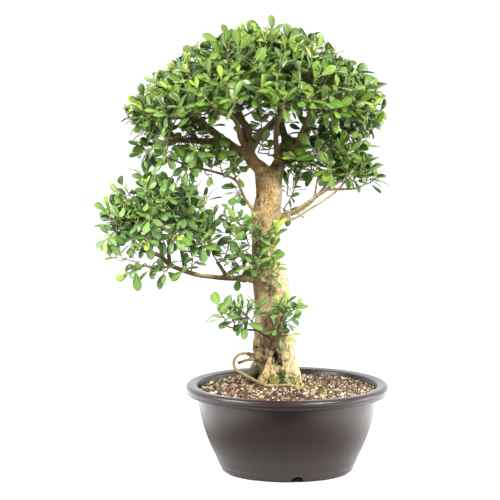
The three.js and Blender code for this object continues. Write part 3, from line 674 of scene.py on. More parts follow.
@dataclass(frozen=True)
class LeafTop(Finish):
    """The glossy upper side of a leaf: tone gives its youth, its green, darker at the crown's top as painted
    shade and paler on the pad partly as painted light, and a bluish tint that is partly painted sheen.
    """

    title: str = "leaf_upper_side"
    deep: Colour = (0.021, 0.060, 0.007, 1)
    fresh: Colour = (0.106, 0.212, 0.018, 1)
    lime: Colour = (0.370, 0.520, 0.045, 1)
    rib: Colour = (0.300, 0.430, 0.110, 1)
    blue_tint_and_sheen: Colour = (0.135, 0.255, 0.110, 1)
    roughness: float = 0.25
    rib_share: float = 0.6

    def wire(self, wiring: Wiring, shader: Node) -> None:
        """Wires the leaf's green, its midrib, its side veins and its wax.

        Args:
            wiring: The hand for the material's tree.
            shader: The material's own shader.
        """
        tone = wiring.add("Attribute", attribute_name="leaf_tone")
        parts = wiring.add("SeparateColor", {0: tone.outputs["Color"]})
        place = wiring.add("SeparateXYZ", {0: wiring.add("UVMap", uv_map="blade").outputs[0]})
        aside = wiring.math("ABSOLUTE", wiring.math("SUBTRACT", place.outputs[0], 0.5))
        rib = wiring.times(wiring.steps(aside, 0.045, 0.012), self.rib_share)
        along = wiring.math("SUBTRACT", place.outputs[1], wiring.times(aside, 0.55))
        wave = wiring.math("SINE", wiring.times(along, 58.0))
        vein = wiring.times(wiring.steps(wave, 0.55, 1.0), 0.16)
        colour = wiring.mix(parts.outputs[1], self.deep, self.fresh)
        # a bluish-grey green by the third number: partly the leaves' own bluish green and partly painted sheen
        colour = wiring.mix(wiring.times(parts.outputs[2], 0.7), colour, self.blue_tint_and_sheen)
        colour = wiring.mix(parts.outputs[0], colour, self.lime)
        blotch = wiring.times(wiring.mottle(70, (1, 1, 1), 2), 0.18)
        colour = wiring.mix(blotch, colour, self.fresh)
        colour = wiring.mix(vein, colour, self.rib)
        self.skin(wiring, shader, wiring.mix(rib, colour, self.rib), self.roughness, 0.36)
        self.bump(wiring, shader, wiring.plus(rib, wiring.times(vein, -2.0)), 0.00025)


@dataclass(frozen=True)
class LeafUnder(LeafTop):
    """The paler, duller lower side of a leaf."""

    title: str = "leaf_lower_side"
    deep: Colour = (0.120, 0.200, 0.060, 1)
    fresh: Colour = (0.230, 0.340, 0.110, 1)
    lime: Colour = (0.430, 0.580, 0.130, 1)
    roughness: float = 0.52
    rib_share: float = 0.5


@dataclass(frozen=True)
class Stalk(Finish):
    """Cream-green leaf stalks."""

    title: str = "stalk_and_bud"
    cream: Colour = (0.520, 0.500, 0.180, 1)
    green: Colour = (0.260, 0.330, 0.070, 1)

    def wire(self, wiring: Wiring, shader: Node) -> None:
        """Wires a mottle of cream and green."""
        self.skin(wiring, shader, wiring.mix(wiring.mottle(160), self.green, self.cream), 0.45)


@dataclass(frozen=True)
class Grain(Finish):
    """Loose grains and the bed below them; tone is each grain's own colour."""

    title: str = "soil_grain"
    pore: Colour = (0.25, 0.2, 0.15, 1)

    def wire(self, wiring: Wiring, shader: Node) -> None:
        """Wires each grain's colour with its pores.

        Args:
            wiring: The hand for the material's tree.
            shader: The material's own shader.
        """
        tone = wiring.add("Attribute", attribute_name="grain_tone")
        pores = wiring.mottle(700, detail=3)
        colour = wiring.mix(wiring.times(pores, 0.45), tone.outputs["Color"], self.pore, "MULTIPLY")
        self.skin(wiring, shader, colour, 0.85)
        self.bump(wiring, shader, pores, 0.0004)


@dataclass(frozen=True)
class MossFinish(Finish):
    """Short moss; tone is each tuft's own green."""

    title: str = "moss"
    base: Colour = (0.2, 0.25, 0.1, 1)

    def wire(self, wiring: Wiring, shader: Node) -> None:
        """Wires each tuft's green, darkened by a fine mottle.

        Args:
            wiring: The hand for the material's tree.
            shader: The material's own shader.
        """
        tone = wiring.add("Attribute", attribute_name="grain_tone")
        fine = wiring.mottle(1100, detail=2)
        colour = wiring.mix(wiring.times(fine, 0.5), tone.outputs["Color"], self.base, "MULTIPLY")
        self.skin(wiring, shader, colour, 0.9)
        self.bump(wiring, shader, fine, 0.0005)


@dataclass
class TrainingPot:
    """The round moulded pot: a turned shell with a rolled rim, a notched foot and drainage holes."""

    site: Site
    segments: int = 128
    foot_radius: float = 132.0
    notch_radius: float = 14.0
    notch_height: float = 13.0
    notch_turn: float = math.radians(7.8)
    slot_width: float = 128.0
    slot_height: float = 3.0
    drain_radius: float = 9.0
    drain_circle: float = 78.0
    quarter_turns: int = 4
    # radius, height and how far each corner is rounded
    outline: list[Triple] = field(default_factory=lambda: [
        (9, 12.5, 0.5), (127, 12.5, 1), (127.5, 0, 0.8), (132, 0, 1), (134.5, 11.6, 0.8), (137.2, 13.6, 1),
        (141.4, 24.4, 3), (142.3, 26.4, 0.5), (142.7, 27.8, 0.5), (146.2, 35, 3), (152, 47, 5), (156.8, 59, 5),
        (161.4, 71, 5), (165.8, 84, 6), (169.4, 96, 5), (172.4, 108, 5), (175, 120, 5), (177, 132, 5),
        (178, 149, 2), (183.5, 163.5, 2), (196, 165, 1.2), (197.5, 154, 0.8), (200.3, 154, 1), (202, 156.4, 0.8),
        (201.4, 158.8, 0.8), (203, 162.5, 2), (202.6, 168, 2.5), (198.5, 172.2, 3), (193, 173, 3),
        (187, 171.6, 2), (183.5, 171.2, 1), (180.4, 170.2, 1.2), (179, 166, 1.5), (172.5, 147, 4),
        (160, 84, 6), (133.5, 16.5, 4), (9, 16.5, 0.5),
    ])

    def rounded(self) -> np.ndarray:
        """The outline with each corner turned into three points.

        Returns:
            Rows of radius and height.
        """
        rows = []
        count = len(self.outline)
        for i, (radius, height, soften) in enumerate(self.outline):
            here = np.array([radius, height])
            before = np.array(self.outline[i - 1][:2])
            after = np.array(self.outline[(i + 1) % count][:2])
            reach_back = min(soften, 0.45 * np.linalg.norm(before - here))
            reach_on = min(soften, 0.45 * np.linalg.norm(after - here))
            first = here + reach_back * unit(before - here)
            last = here + reach_on * unit(after - here)
            rows += [first, 0.25 * first + 0.5 * here + 0.25 * last, last]
        return np.array(rows)

    def build(self) -> Piece:
        """Spins the shell and cuts its holes, notches and slots.

        Returns:
            The pot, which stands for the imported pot.
        """
        piece = Bench.spin("pot_shell", self.rounded(), self.segments, self.site)
        for i in range(self.quarter_turns):
            turn = 2 * math.pi * i / self.quarter_turns
            self.cut_cylinder(piece, turn + math.pi / 4, self.drain_circle, self.drain_radius, 14.0,
                              upright=True)
            self.cut_cylinder(piece, turn + self.notch_turn - math.pi / 2, self.foot_radius, self.notch_radius,
                              self.notch_height - self.notch_radius, upright=False)
            self.cut_slot(piece, turn - math.pi / 2)
        Bench.pick(piece)
        bpy.ops.object.shade_smooth_by_angle(angle=math.radians(38))
        piece.data.materials.clear()
        piece.data.materials.append(PotPlastic().material())
        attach(piece, "root")
        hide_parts("pot")
        return piece

    def cut_cylinder(self, piece: Piece, turn: float, reach: float, radius: float, height: float,
                     upright: bool) -> None:
        """Cuts a round hole through the floor, or a half-round notch through the foot.

        Args:
            piece: The pot.
            turn: The hole's direction from the axis, in radians.
            reach: The hole's distance from the axis.
            radius: The hole's radius.
            height: The height of the cutter's middle.
            upright: Whether the hole goes down through the floor.
        """
        x, y = reach * math.cos(turn), reach * math.sin(turn)
        place = self.site.to_frame(np.array([x, y, height]))
        rotation = (0, 0, 0) if upright else (0, math.pi / 2, turn)
        Bench.clear()
        bpy.ops.mesh.primitive_cylinder_add(vertices=40, radius=radius * MM, depth=30 * MM, location=place,
                                            rotation=rotation)
        Bench.cut(piece, bpy.context.object)

    def cut_slot(self, piece: Piece, turn: float) -> None:
        """Cuts one wide, shallow slot under the foot ring at a direction from the axis.

        Args:
            piece: The pot.
            turn: The slot's direction, in radians.
        """
        x, y = self.foot_radius * math.cos(turn), self.foot_radius * math.sin(turn)
        place = self.site.to_frame(np.array([x, y, 0]))
        Bench.clear()
        bpy.ops.mesh.primitive_cube_add(size=1, location=place, rotation=(0, 0, turn))
        cutter = bpy.context.object
        cutter.scale = (60 * MM, self.slot_width * MM, 2 * self.slot_height * MM)
        Bench.place_in_mesh(cutter)
        Bench.cut(piece, cutter)


@dataclass
class Pebble:
    """One small lump that is copied many times with its own turn, size and colour."""

    roughness: float = 0.28

    def shapes(self, count: int, random: Random) -> tuple[list[np.ndarray], list[list[int]]]:
        """Some uneven versions of the lump.

        Args:
            count: How many versions to make.
            random: The source of random numbers.

        Returns:
            The versions' vertices, with a radius of about one, and their common faces.
        """
        Bench.clear()
        bpy.ops.mesh.primitive_ico_sphere_add(subdivisions=1, radius=1)
        ball = bpy.context.object
        points = coordinates(ball.data)
        faces = [list(face.vertices) for face in ball.data.polygons]
        bpy.data.objects.remove(ball, do_unlink=True)
        versions = []
        for _ in range(count):
            squash = np.array([1.0, random.uniform(0.65, 1.0), random.uniform(0.5, 0.85)])
            dents = 1 + self.roughness * random.uniform(-1, 1, (len(points), 1))
            versions.append(points * squash * dents)
        return versions, faces

    def scatter(self, name: str, places: np.ndarray, sizes: np.ndarray, colours: np.ndarray, site: Site,
                random: Random) -> Piece:
        """Copies the lump to many places as one piece.

        Args:
            name: The piece's name.
            places: Rows of centres in the plant's axes.
            sizes: Each copy's radius.
            colours: Each copy's colour, four numbers a row.
            site: Where the pot's axis stands.
            random: The source of random numbers.

        Returns:
            The piece, with the colours as its grain_tone.
        """
        versions, faces = self.shapes(12, random)
        corners = np.array(faces)
        count = len(versions[0])
        points, all_faces = [], []
        for i, (place, size) in enumerate(zip(places, sizes)):
            turn = unit(random.normal(size=4))
            a, b, c, d = turn
            matrix = np.array([
                [1 - 2 * (c * c + d * d), 2 * (b * c - a * d), 2 * (b * d + a * c)],
                [2 * (b * c + a * d), 1 - 2 * (b * b + d * d), 2 * (c * d - a * b)],
                [2 * (b * d - a * c), 2 * (c * d + a * b), 1 - 2 * (b * b + c * c)],
            ])
            points.append(place + size * versions[i % len(versions)] @ matrix.T)
            all_faces.append(corners + i * count)
        piece = new_piece(name, site.to_frame(np.vstack(points)), np.vstack(all_faces).tolist())
        paint(piece.data, "grain_tone", np.repeat(colours, count, axis=0))
        piece.data.shade_flat()
        return piece


@dataclass
class Soil:
    """The granular mix that fills the pot: a dished bed with loose grains on it."""

    site: Site
    level: float = 166.0
    edge_drop: float = 5.0
    mound: float = 12.0
    mound_reach: float = 55.0
    mouth: float = 176.0
    spacing: float = 4.1
    row_share: float = 0.9
    loose_grains: int = 2100
    grain_radius: float = 2.15
    grain_spread: float = 0.34
    palette: list[Triple] = field(default_factory=lambda: [
        (0.25, 0.155, 0.078), (0.43, 0.31, 0.17), (0.72, 0.59, 0.39), (0.105, 0.055, 0.030),
        (0.042, 0.023, 0.018), (0.13, 0.074, 0.064), (0.020, 0.013, 0.010), (0.19, 0.066, 0.034),
        (0.80, 0.74, 0.60), (0.11, 0.085, 0.045),
    ])
    # how common each colour of the palette is
    shares: list[float] = field(default_factory=lambda: [
        0.18, 0.17, 0.11, 0.15, 0.13, 0.08, 0.10, 0.03, 0.04, 0.02,
    ])

    def height(self, x: np.ndarray, y: np.ndarray) -> np.ndarray:
        """The surface's height at places in the plant's axes.

        Args:
            x: Each place's x.
            y: Each place's y.

        Returns:
            The height at each place.
        """
        share = np.hypot(x, y) / self.mouth
        hump = np.exp(-((x + 25) ** 2 + (y + 30) ** 2) / (2 * self.mound_reach ** 2))
        return self.level - 1.2 - self.edge_drop * share ** 2 + self.mound * hump

    def build_bed(self) -> Piece:
        """The closed body of soil below the grains.

        Returns:
            The piece, which stands for the packed soil.
        """
        rings = [(self.mouth * share, self.level) for share in np.linspace(0.96, 0.04, 22)]
        profile = [(0, 16.8), (132.5, 16.8), (158.6, 84), (171, 147), (175.4, 160)] + rings + [(0, self.level)]
        bed = Bench.spin("soil_bed", np.array(profile), 96, self.site)
        points = self.site.to_plant(coordinates(bed.data))
        top = points[:, 2] > self.level - 1
        x, y = points[top, 0], points[top, 1]
        points[top, 2] = self.height(x, y) - 1.6 + 0.9 * ripple(points[top], (7, 7, 7))
        put_coordinates(bed.data, self.site.to_frame(points))
        bed.data.shade_smooth()
        # the bed is darker than most grains, so that the gaps between them read dark: partly the soil's own
        # colour and partly painted shade
        paint(bed.data, "grain_tone", np.tile([0.16, 0.105, 0.07, 1.0], (len(points), 1)))
        bed.data.materials.append(Grain().material())
        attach(bed, "root")
        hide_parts("soil")
        return bed

    def build_grains(self, trunk_foot: list[Triple],
                     random: Random) -> Piece:
        """The loose grains on the bed.

        Args:
            trunk_foot: Circles of x, y and radius where wood goes into the soil.
            random: The source of random numbers.

        Returns:
            The piece of all the grains.
        """
        steps = np.arange(-self.mouth, self.mouth, self.spacing)
        across, along = np.meshgrid(steps, steps * self.row_share)
        across = across + (np.arange(len(steps)) % 2 * 0.5 * self.spacing)[:, None]
        places = np.stack([across.ravel(), along.ravel()], 1)
        places = np.vstack([places, random.uniform(-self.mouth, self.mouth, (self.loose_grains, 2))])
        places += random.normal(scale=0.3 * self.spacing, size=places.shape)
        places = places[np.hypot(places[:, 0], places[:, 1]) < self.mouth - 2.2]
        for x, y, radius in trunk_foot:
            places = places[np.hypot(places[:, 0] - x, places[:, 1] - y) > radius - 2.5]
        sizes = np.clip(random.lognormal(math.log(self.grain_radius), self.grain_spread, len(places)), 1.1, 4.6)
        lift = random.uniform(-0.25, 0.75, len(places)) * sizes
        centres = np.column_stack([places, self.height(places[:, 0], places[:, 1]) - 0.6 + lift])
        picks = random.choice(len(self.palette), len(places), p=np.array(self.shares) / sum(self.shares))
        colours = np.array(self.palette)[picks] * random.uniform(0.7, 1.15, (len(places), 1))
        colours = np.column_stack([colours, np.ones(len(places))])
        grains = Pebble().scatter("soil_grains", centres, sizes, colours, self.site, random)
        grains.data.materials.append(Grain().material())
        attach(grains, "root")
        return grains


@dataclass
class Moss:
    """Cushions of moss at the roots and on the soil near them."""

    site: Site
    yellow_green: Triple = (0.34, 0.40, 0.05)
    deep_green: Triple = (0.065, 0.115, 0.024)
    # middle x, y, z, reach, tufts, and whether the cushion is yellow-green and whether it is on wood
    cushions: list[tuple[float, float, float, float, int, bool, bool]] = field(default_factory=lambda: [
        (-11, -38, 196, 11, 260, False, True), (-6, -44, 180, 12, 200, False, True),
        (12, -30, 184, 8, 60, True, True), (-44, -52, 180, 6, 40, True, True),
        (-60, -20, 200, 10, 60, False, True), (-30, -46, 184, 9, 70, True, True),
        (-62, -14, 240, 8, 50, False, True), (20, -20, 182, 9, 50, True, True),
        (0, -50, 170, 14, 150, False, False), (24, -38, 171, 9, 90, True, False),
        (70, -92, 166, 10, 50, True, False), (90, -84, 165, 12, 46, False, False),
        (-72, -40, 168, 11, 30, True, False), (40, 22, 170, 18, 110, False, False),
        (-74, 30, 170, 16, 80, True, False), (-8, 62, 170, 18, 110, False, False),
    ])

    def build(self, wood: Piece, soil: Soil, random: Random) -> Piece:
        """Scatters the tufts of all the cushions over the wood and the soil.

        Args:
            wood: The woody body that some cushions grow on.
            soil: The bed that the others grow on.
            random: The source of random numbers.

        Returns:
            The piece of all the moss.
        """
        places, colours = [], []
        for x, y, z, reach, count, yellow, on_wood in self.cushions:
            spread = np.array([x, y, z]) + random.normal(scale=0.45, size=(count, 3)) * reach
            if on_wood:
                for i, start in enumerate(self.site.to_frame(spread)):
                    spread[i] = self.site.to_plant(np.array(wood.closest_point_on_mesh(Vector(start))[1]))
            else:
                spread[:, 2] = soil.height(spread[:, 0], spread[:, 1]) + 0.8
            places.append(spread)
            base = np.array(self.yellow_green if yellow else self.deep_green)
            colours.append(base * random.uniform(0.55, 1.4, (count, 1)))
        places, colours = np.vstack(places), np.vstack(colours)
        sizes = random.uniform(0.8, 2.0, len(places))
        colours = np.column_stack([colours, np.ones(len(places))])
        piece = Pebble(roughness=0.5).scatter("moss", places, sizes, colours, self.site, random)
        piece.data.materials.append(MossFinish().material())
        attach(piece, "root")
        return piece


@dataclass
class WoodyBody:
    """Trunk, root columns, loop root and boughs, grown together as one skin."""

    site: Site
    voxel: float = 2.0
    samples: list[np.ndarray] = field(default_factory=list)

    def trunk_line(self, z: np.ndarray) -> np.ndarray:
        """The trunk's middle, radius and fluting at some heights.

        Args:
            z: Heights in the plant's axes.

        Returns:
            Rows of x, y, radius and fluting.
        """
        table = np.array(TRUNK)
        return np.stack([np.interp(z, table[:, 2], table[:, column]) for column in (0, 1, 3, 4)], 1)

    def tubes(self, lines: list[np.ndarray]) -> Piece:
        """One mesh of capped tubes along lines of x, y, z and radius.

        Args:
            lines: The tubes' lines.

        Returns:
            The tubes, which still overlap.
        """
        curve = bpy.data.curves.new("wood_tubes", "CURVE")
        curve.dimensions = "3D"
        curve.bevel_depth = MM
        curve.bevel_resolution = 4
        curve.use_fill_caps = True
        for line in lines:
            spline = curve.splines.new("POLY")
            spline.points.add(len(line) - 1)
            places = self.site.to_frame(line[:, :3])
            for point, place, radius in zip(spline.points, places, line[:, 3]):
                point.co = (*place, 1)
                point.radius = radius
        piece = bpy.data.objects.new("woody_body", curve)
        bpy.context.scene.collection.objects.link(piece)
        Bench.pick(piece)
        bpy.ops.object.convert(target="MESH")
        return bpy.context.object

    def build(self) -> Piece:
        """Grows the whole woody body.

        Returns:
            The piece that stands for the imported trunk.
        """
        trunk = smooth_path(np.array(TRUNK)[:, :4], 5)
        lines = [trunk] + [smooth_path(np.array(s, dtype=float), 6) for s in COLUMNS.values()]
        lines.append(smooth_path(np.array(LOOP_ROOT, dtype=float), 6))
        boughs = [smooth_path(np.array(s, dtype=float), 6) for s in BOUGHS.values()]
        self.samples = boughs
        piece = self.tubes(lines + boughs)
        remesh = piece.modifiers.new("skin", "REMESH")
        remesh.mode = "VOXEL"
        remesh.voxel_size = self.voxel * MM
        smooth = piece.modifiers.new("soften", "SMOOTH")
        smooth.factor = 0.5
        smooth.iterations = 4
        Bench.finish_modifiers(piece)
        self.carve(piece)
        piece.data.shade_smooth()
        piece.data.materials.clear()
        piece.data.materials.append(Bark().material())
        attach(piece, "root")
        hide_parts("trunk")
        return piece

    def near_lines(self, points: np.ndarray, lines: list[Stations], reach: float) -> np.ndarray:
        """How much each place belongs to thin roots or stems.

        Args:
            points: Rows in the plant's axes.
            lines: The roots' or stems' stations.
            reach: The distance up to which a place belongs to them fully.

        Returns:
            One number for each place, from 0 to 1.
        """
        samples = np.vstack([smooth_path(np.array(line, dtype=float), 8)[:, :3] for line in lines])
        shares = np.zeros(len(points))
        close = np.flatnonzero(np.all(points[:, 1:] < samples[:, 1:].max(axis=0) + 15, axis=1))
        for batch in np.array_split(close, max(1, len(close) // 4000)):
            gap = np.linalg.norm(points[batch, None] - samples[None], axis=2).min(axis=1)
            shares[batch] = np.clip((reach + 2 - gap) / 2, 0, 1)
        return shares

    def carve(self, piece: Piece) -> None:
        """Gives the skin its flutes, furrows, slits and hollows, and paints the bark's tones, with painted shade
        in the slits, seam, pits and furrows.

        Args:
            piece: The woody body.
        """
        mesh = piece.data
        points = self.site.to_plant(coordinates(mesh))
        normals = np.empty(len(mesh.vertices) * 3)
        mesh.vertices.foreach_get("normal", normals)
        normals = normals.reshape(-1, 3)
        x, y, z = points.T
        line = self.trunk_line(z)
        off = points[:, :2] - line[:, :2]
        distance = np.linalg.norm(off, axis=1)
        angle = np.arctan2(off[:, 1], off[:, 0])
        on_trunk = np.clip(1.6 - distance / (line[:, 2] * 1.15 + 6), 0, 1) * (z < TRUNK_TOP)
        on_trunk = np.clip(on_trunk * 2.5, 0, 1)
        root = self.near_lines(points, [LOOP_ROOT[3:], COLUMNS["loop_stub"][2:]], 4.6)
        stems = self.near_lines(points, [BOUGHS["low_stem"][2:], BOUGHS["low_left"], BOUGHS["low_twig"]], 4.0)
        low = np.clip((320 - z) / 60, 0, 1) * (distance < 75) * (z > 150) * (1 - root) * (1 - stems)
        on_trunk *= (1 - root) * (1 - stems)
        thick = np.maximum(on_trunk, low)
        long_noise = ripple(points, (11, 11, 62))
        ridge = 1 - 2 * np.abs(ripple(points, (8, 8, 46), 7.7))
        lumps = ripple(points, (26, 26, 34), 3.3)
        grit = ripple(points, (4.5, 4.5, 6), 11.1)
        wrinkle = 1 - 2 * np.abs(ripple(points, (9, 9, 6.5), 21.7))
        flute = line[:, 3] * line[:, 2] * (np.sin(3 * angle + 0.012 * z) + 0.7 * np.sin(5 * angle - 0.02 * z))
        lift = on_trunk * (0.8 * flute + 2.4 * lumps) + low * (3.4 * long_noise + 1.8 * ridge)
        lift += thick * (0.7 * ridge + 0.8 * grit + 0.5 * wrinkle) + (1 - thick) * 0.25 * grit
        slit = self.marks(points, SLITS)
        seam_x = np.interp(z, [341, 400, 459], [-38, -33, -31])
        seam = np.exp(-((x - seam_x) / 2.4) ** 2) * (y < -8)
        seam = seam * np.clip((462 - z) / 20, 0, 1) * np.clip((z - 325) / 20, 0, 1)
        pits = low * np.clip(ripple(points, (5.5, 5.5, 7), 41.0) * 2.4 - 0.25, 0, 1)
        pits = pits * np.clip((305 - z) / 60, 0.2, 1)
        fibres = self.marks(points, FIBRES)
        lift += fibres * 3.2 * ripple(points, (2.5, 2.5, 9), 5.0) - 5.0 * slit - 3.0 * seam - 2.6 * pits
        put_coordinates(mesh, self.site.to_frame(points + normals * lift[:, None]))
        # painted shade in the carved slits, seam and pits and in the furrows between ridges, with the darker
        # fibres and low stems
        dark = slit + 0.5 * seam + 0.3 * fibres + 0.75 * pits + 0.8 * stems - 0.12 * (ridge + wrinkle) * thick
        self.paint_bark(mesh, points, normals, thick, on_trunk, root, dark)

    @staticmethod
    def marks(points: np.ndarray, spots: Spots) -> np.ndarray:
        """The sum of some soft spots, each full at its middle and faint at its reach.

        Args:
            points: Rows in the plant's axes.
            spots: How strong each spot is, its middle and its reach along each axis.

        Returns:
            One number for each point.
        """
        total = np.zeros(len(points))
        for strength, middle, reach in spots:
            away = (points - np.array(middle)) / np.array(reach)
            total += strength * np.exp(-np.sum(away ** 2, axis=1))
        return total

    def paint_bark(self, mesh: Mesh, points: np.ndarray, normals: np.ndarray, thick: np.ndarray,
                   on_trunk: np.ndarray, root: np.ndarray, dark: np.ndarray) -> None:
        """Paints golden, pale, green and dark shares; the pale share holds painted light and the dark share
        painted shade.

        Args:
            mesh: The carved mesh.
            points: Its places before carving.
            normals: The skin's directions there.
            thick: How much of each place is trunk or root.
            on_trunk: How much of each place is the upright trunk.
            root: How much of each place is the looping root.
            dark: How dark the slits, seam, pits, furrows, fibres and low stems are; in the slits, seam, pits and
                furrows it is painted shade.
        """
        x, _, z = points.T
        cloud = ripple(points, (22, 22, 40), 9.4)
        golden = on_trunk * np.clip((z - 280) / 160, 0.35, 1) * (0.85 + 0.3 * cloud)
        fork = np.clip(1.15 - np.hypot((x + 46) / 62, (z - 612) / 66), 0, 1) * (z > 585)
        golden = np.maximum(golden, fork * (0.7 + 0.5 * cloud))
        splint = self.marks(points, SPLINT_SKIN)
        golden = np.maximum(golden, 1.4 * splint)
        # paler on the trunk's right side: partly the pale bark of the right root column and partly painted light
        # from the lamps on the right
        pale = thick * np.clip((x + 28) / 26, 0, 1) * np.clip((330 - z) / 40, 0, 1)
        pale = np.maximum(pale, on_trunk * np.clip((x + 34) / 16, 0, 1) * np.clip((z - 330) / 40, 0, 0.85))
        pale = np.maximum(pale, np.interp(z, [450, 520], [0.95, 0.16]) * on_trunk * (0.6 + 0.8 * cloud))
        speckle = np.clip(ripple(points, (4, 4, 5), 31.0) * 2, 0, 1)
        pale = np.maximum(pale, thick * speckle * np.clip((260 - z) / 40, 0, 0.8))
        # painted light: the upper sides of the boughs are paler where the light from above falls on them
        painted_top_light = np.clip(normals[:, 2], 0, 1) * (1 - thick) * (0.55 + 0.6 * cloud)
        pale = np.maximum(pale, 0.75 * painted_top_light)
        pale = np.maximum(pale, 0.6 * (1 - thick) * (x > 2) * (np.abs(z - 550) < 60))
        green = 0.7 * thick * np.clip((330 - z) / 80, 0, 1) * np.clip(0.1 + cloud, 0, 1)
        green = np.maximum(green, self.marks(points, MOSSY_SKIN))
        green = np.maximum(green, 0.45 * root * (z > 190))
        golden = np.maximum(golden, 0.4 * (1 - thick) * (0.5 + cloud))
        golden = np.maximum(golden * (1 - root), 0.25 * root)
        pale *= (1 - 0.6 * root * (z > 190)) * (1 - 0.75 * np.clip(splint, 0, 1))
        shaded = self.marks(points, ROOT_SHADE) * (1 - root) + self.marks(points, STUB_SHADE)
        # darker towards the soil line
        darker_at_soil_line = thick * np.clip((SOIL_LINE - z) / 8, 0, 0.5)
        dark_and_shade = np.clip(dark + shaded + 0.9 * self.marks(points, CUT_ENDS) + darker_at_soil_line, 0, 1)
        paint(mesh, "bark_tone", np.clip(np.stack([golden, pale, green, dark_and_shade], 1), 0, 1))


@dataclass
class Shoot:
    """One leafy shoot: where its leafy part starts, where it points and what it carries."""

    base: np.ndarray
    way: np.ndarray
    length: float
    leaves: int
    size: float
    group: str
    young: bool = False

    @classmethod
    def by_hand(cls, group: str, base: Triple, way: Triple, length: float, leaves: int, size: float,
                young: bool = False) -> Shoot:
        """A shoot from one row of a table.

        Args:
            group: The name of its leafy part.
            base: Where its leafy part starts.
            way: Where it points, of any length.
            length: Its length.
            leaves: How many leaves it has.
            size: Their size, as a share of the usual one.
            young: Whether its last leaves have just opened.

        Returns:
            The shoot.
        """
        start, toward = np.array(base, dtype=float), unit(np.array(way, dtype=float))
        return cls(start, toward, length, leaves, size, group, young)


@dataclass(frozen=True)
class Pad:
    """A pad of shoots over the upper side of an ellipsoid, in layers."""

    group: str
    centre: Triple
    radii: Triple
    # the lowest direction that has shoots: 1 is straight up, -1 straight down
    lowest: float
    # where the spiral of shoots starts, in radians
    phase: float
    # over 1, the upper shoots stand closer to the pad's middle
    taper: float
    # how much the shoots turn upwards
    rise: float
    # how much the pad climbs towards its right end
    tilt: float
    # the height below which no shoot starts, in the pad's middle and at its left and right ends
    hem: tuple[float, float]
    # how far out each layer starts, how many shoots it has and how long they are
    layers: tuple[tuple[float, int, float], ...]
    young_share: float = 0.34
    # whether the crown's outline holds for it
    edged: bool = False
    # the x and z range in front of the boughs where it has no shoots
    bare: tuple[tuple[float, float], tuple[float, float]] | None = None
    bare_back: float = 40
    # how often a shoot beyond the outline is drawn in, and to what share of its distance each time
    tries: int = 16
    drawn_in: float = 0.96

    def shoots(self, random: Random) -> list[Shoot]:
        """The pad's shoots, by a spiral from its top to its lowest direction.

        Args:
            random: The source of random numbers.

        Returns:
            The shoots of all the layers.
        """
        made = []
        for offset, count, length in self.layers:
            radii = np.array(self.radii) + offset
            for i in range(count):
                height = 1 - (i + 0.5) / count * (1 - self.lowest)
                reach = math.sqrt(1 - height * height)
                angle = GOLDEN_ANGLE * i + self.phase
                way = np.array([reach * math.cos(angle), reach * math.sin(angle), height])
                inward = reach ** (self.taper - 1)
                base = np.array(self.centre) + way * radii * np.array([inward, inward, 1])
                base[2] += self.tilt * (base[0] - self.centre[0])
                base += random.normal(scale=6, size=3)
                share = min(1.0, abs(base[0] - self.centre[0]) / self.radii[0])
                if self.is_bare(base):
                    continue
                if base[2] < self.hem[0] + (self.hem[1] - self.hem[0]) * share ** 2:
                    continue
                toward = unit(way / radii * np.linalg.norm(radii) + random.normal(scale=0.2, size=3))
                toward[2] += self.rise
                toward = unit(toward)
                reach_out = length * random.uniform(0.7, 1.2)
                for _ in range(self.tries):
                    if not self.edged or inside_crown(base + (reach_out + OUTLINE_MARGIN) * toward):
                        break
                    base = np.array(self.centre) + self.drawn_in * (base - np.array(self.centre))
                leaves, size = int(random.integers(7, 11)), random.uniform(0.8, 1.08)
                young = bool(random.random() < self.young_share)
                made.append(Shoot(base, toward, reach_out, leaves, size, self.group, young))
        return made

    def is_bare(self, base: np.ndarray) -> bool:
        """Whether a place lies in front of the boughs where the pad has no shoots.

        Args:
            base: Where a shoot would start.

        Returns:
            True for a place without shoots.
        """
        if self.bare is None or base[1] >= self.bare_back:
            return False
        return all(low < base[axis] < high for axis, (low, high) in zip((0, 2), self.bare))


class Group(Enum):
    """The leafy parts of the plant, each with its piece's name."""

    CROWN_FRONT = "crown_leaves_front"
    CROWN_BACK = "crown_leaves_back"
    TIER_LEFT = "tier_left_leaves"
    TIER_RIGHT = "tier_right_leaves"
    PAD_LEFT = "pad_left_leaves"
    LOW = "low_shoot_leaves"


# The crown's outline as the camera sees it, at the axis's distance: z and its left and right ends
OUTLINE_MARGIN = 6.0
CROWN_OUTLINE = [
    (560, -290, 195), (620, -305, 190), (680, -335, 190), (715, -335, 205), (760, -310, 205),
    (790, -270, 190), (820, -235, 135), (850, -195, 95), (885, -140, 60), (908, -70, -35),
]


def inside_crown(point: np.ndarray) -> bool:
    """Whether the camera sees a point within the crown's outline.

    Args:
        point: A place in the plant's axes.

    Returns:
        True for a point inside.
    """
    share = Studio.distance / (Studio.distance + point[1])
    across = Studio.aside + (point[0] - Studio.aside) * share
    height = Studio.height + (point[2] - Studio.height) * share
    table = np.array(CROWN_OUTLINE, dtype=float)
    left, right = (np.interp(height, table[:, 0], table[:, i]) for i in (1, 2))
    return bool(left < across < right and height < table[-1, 0])


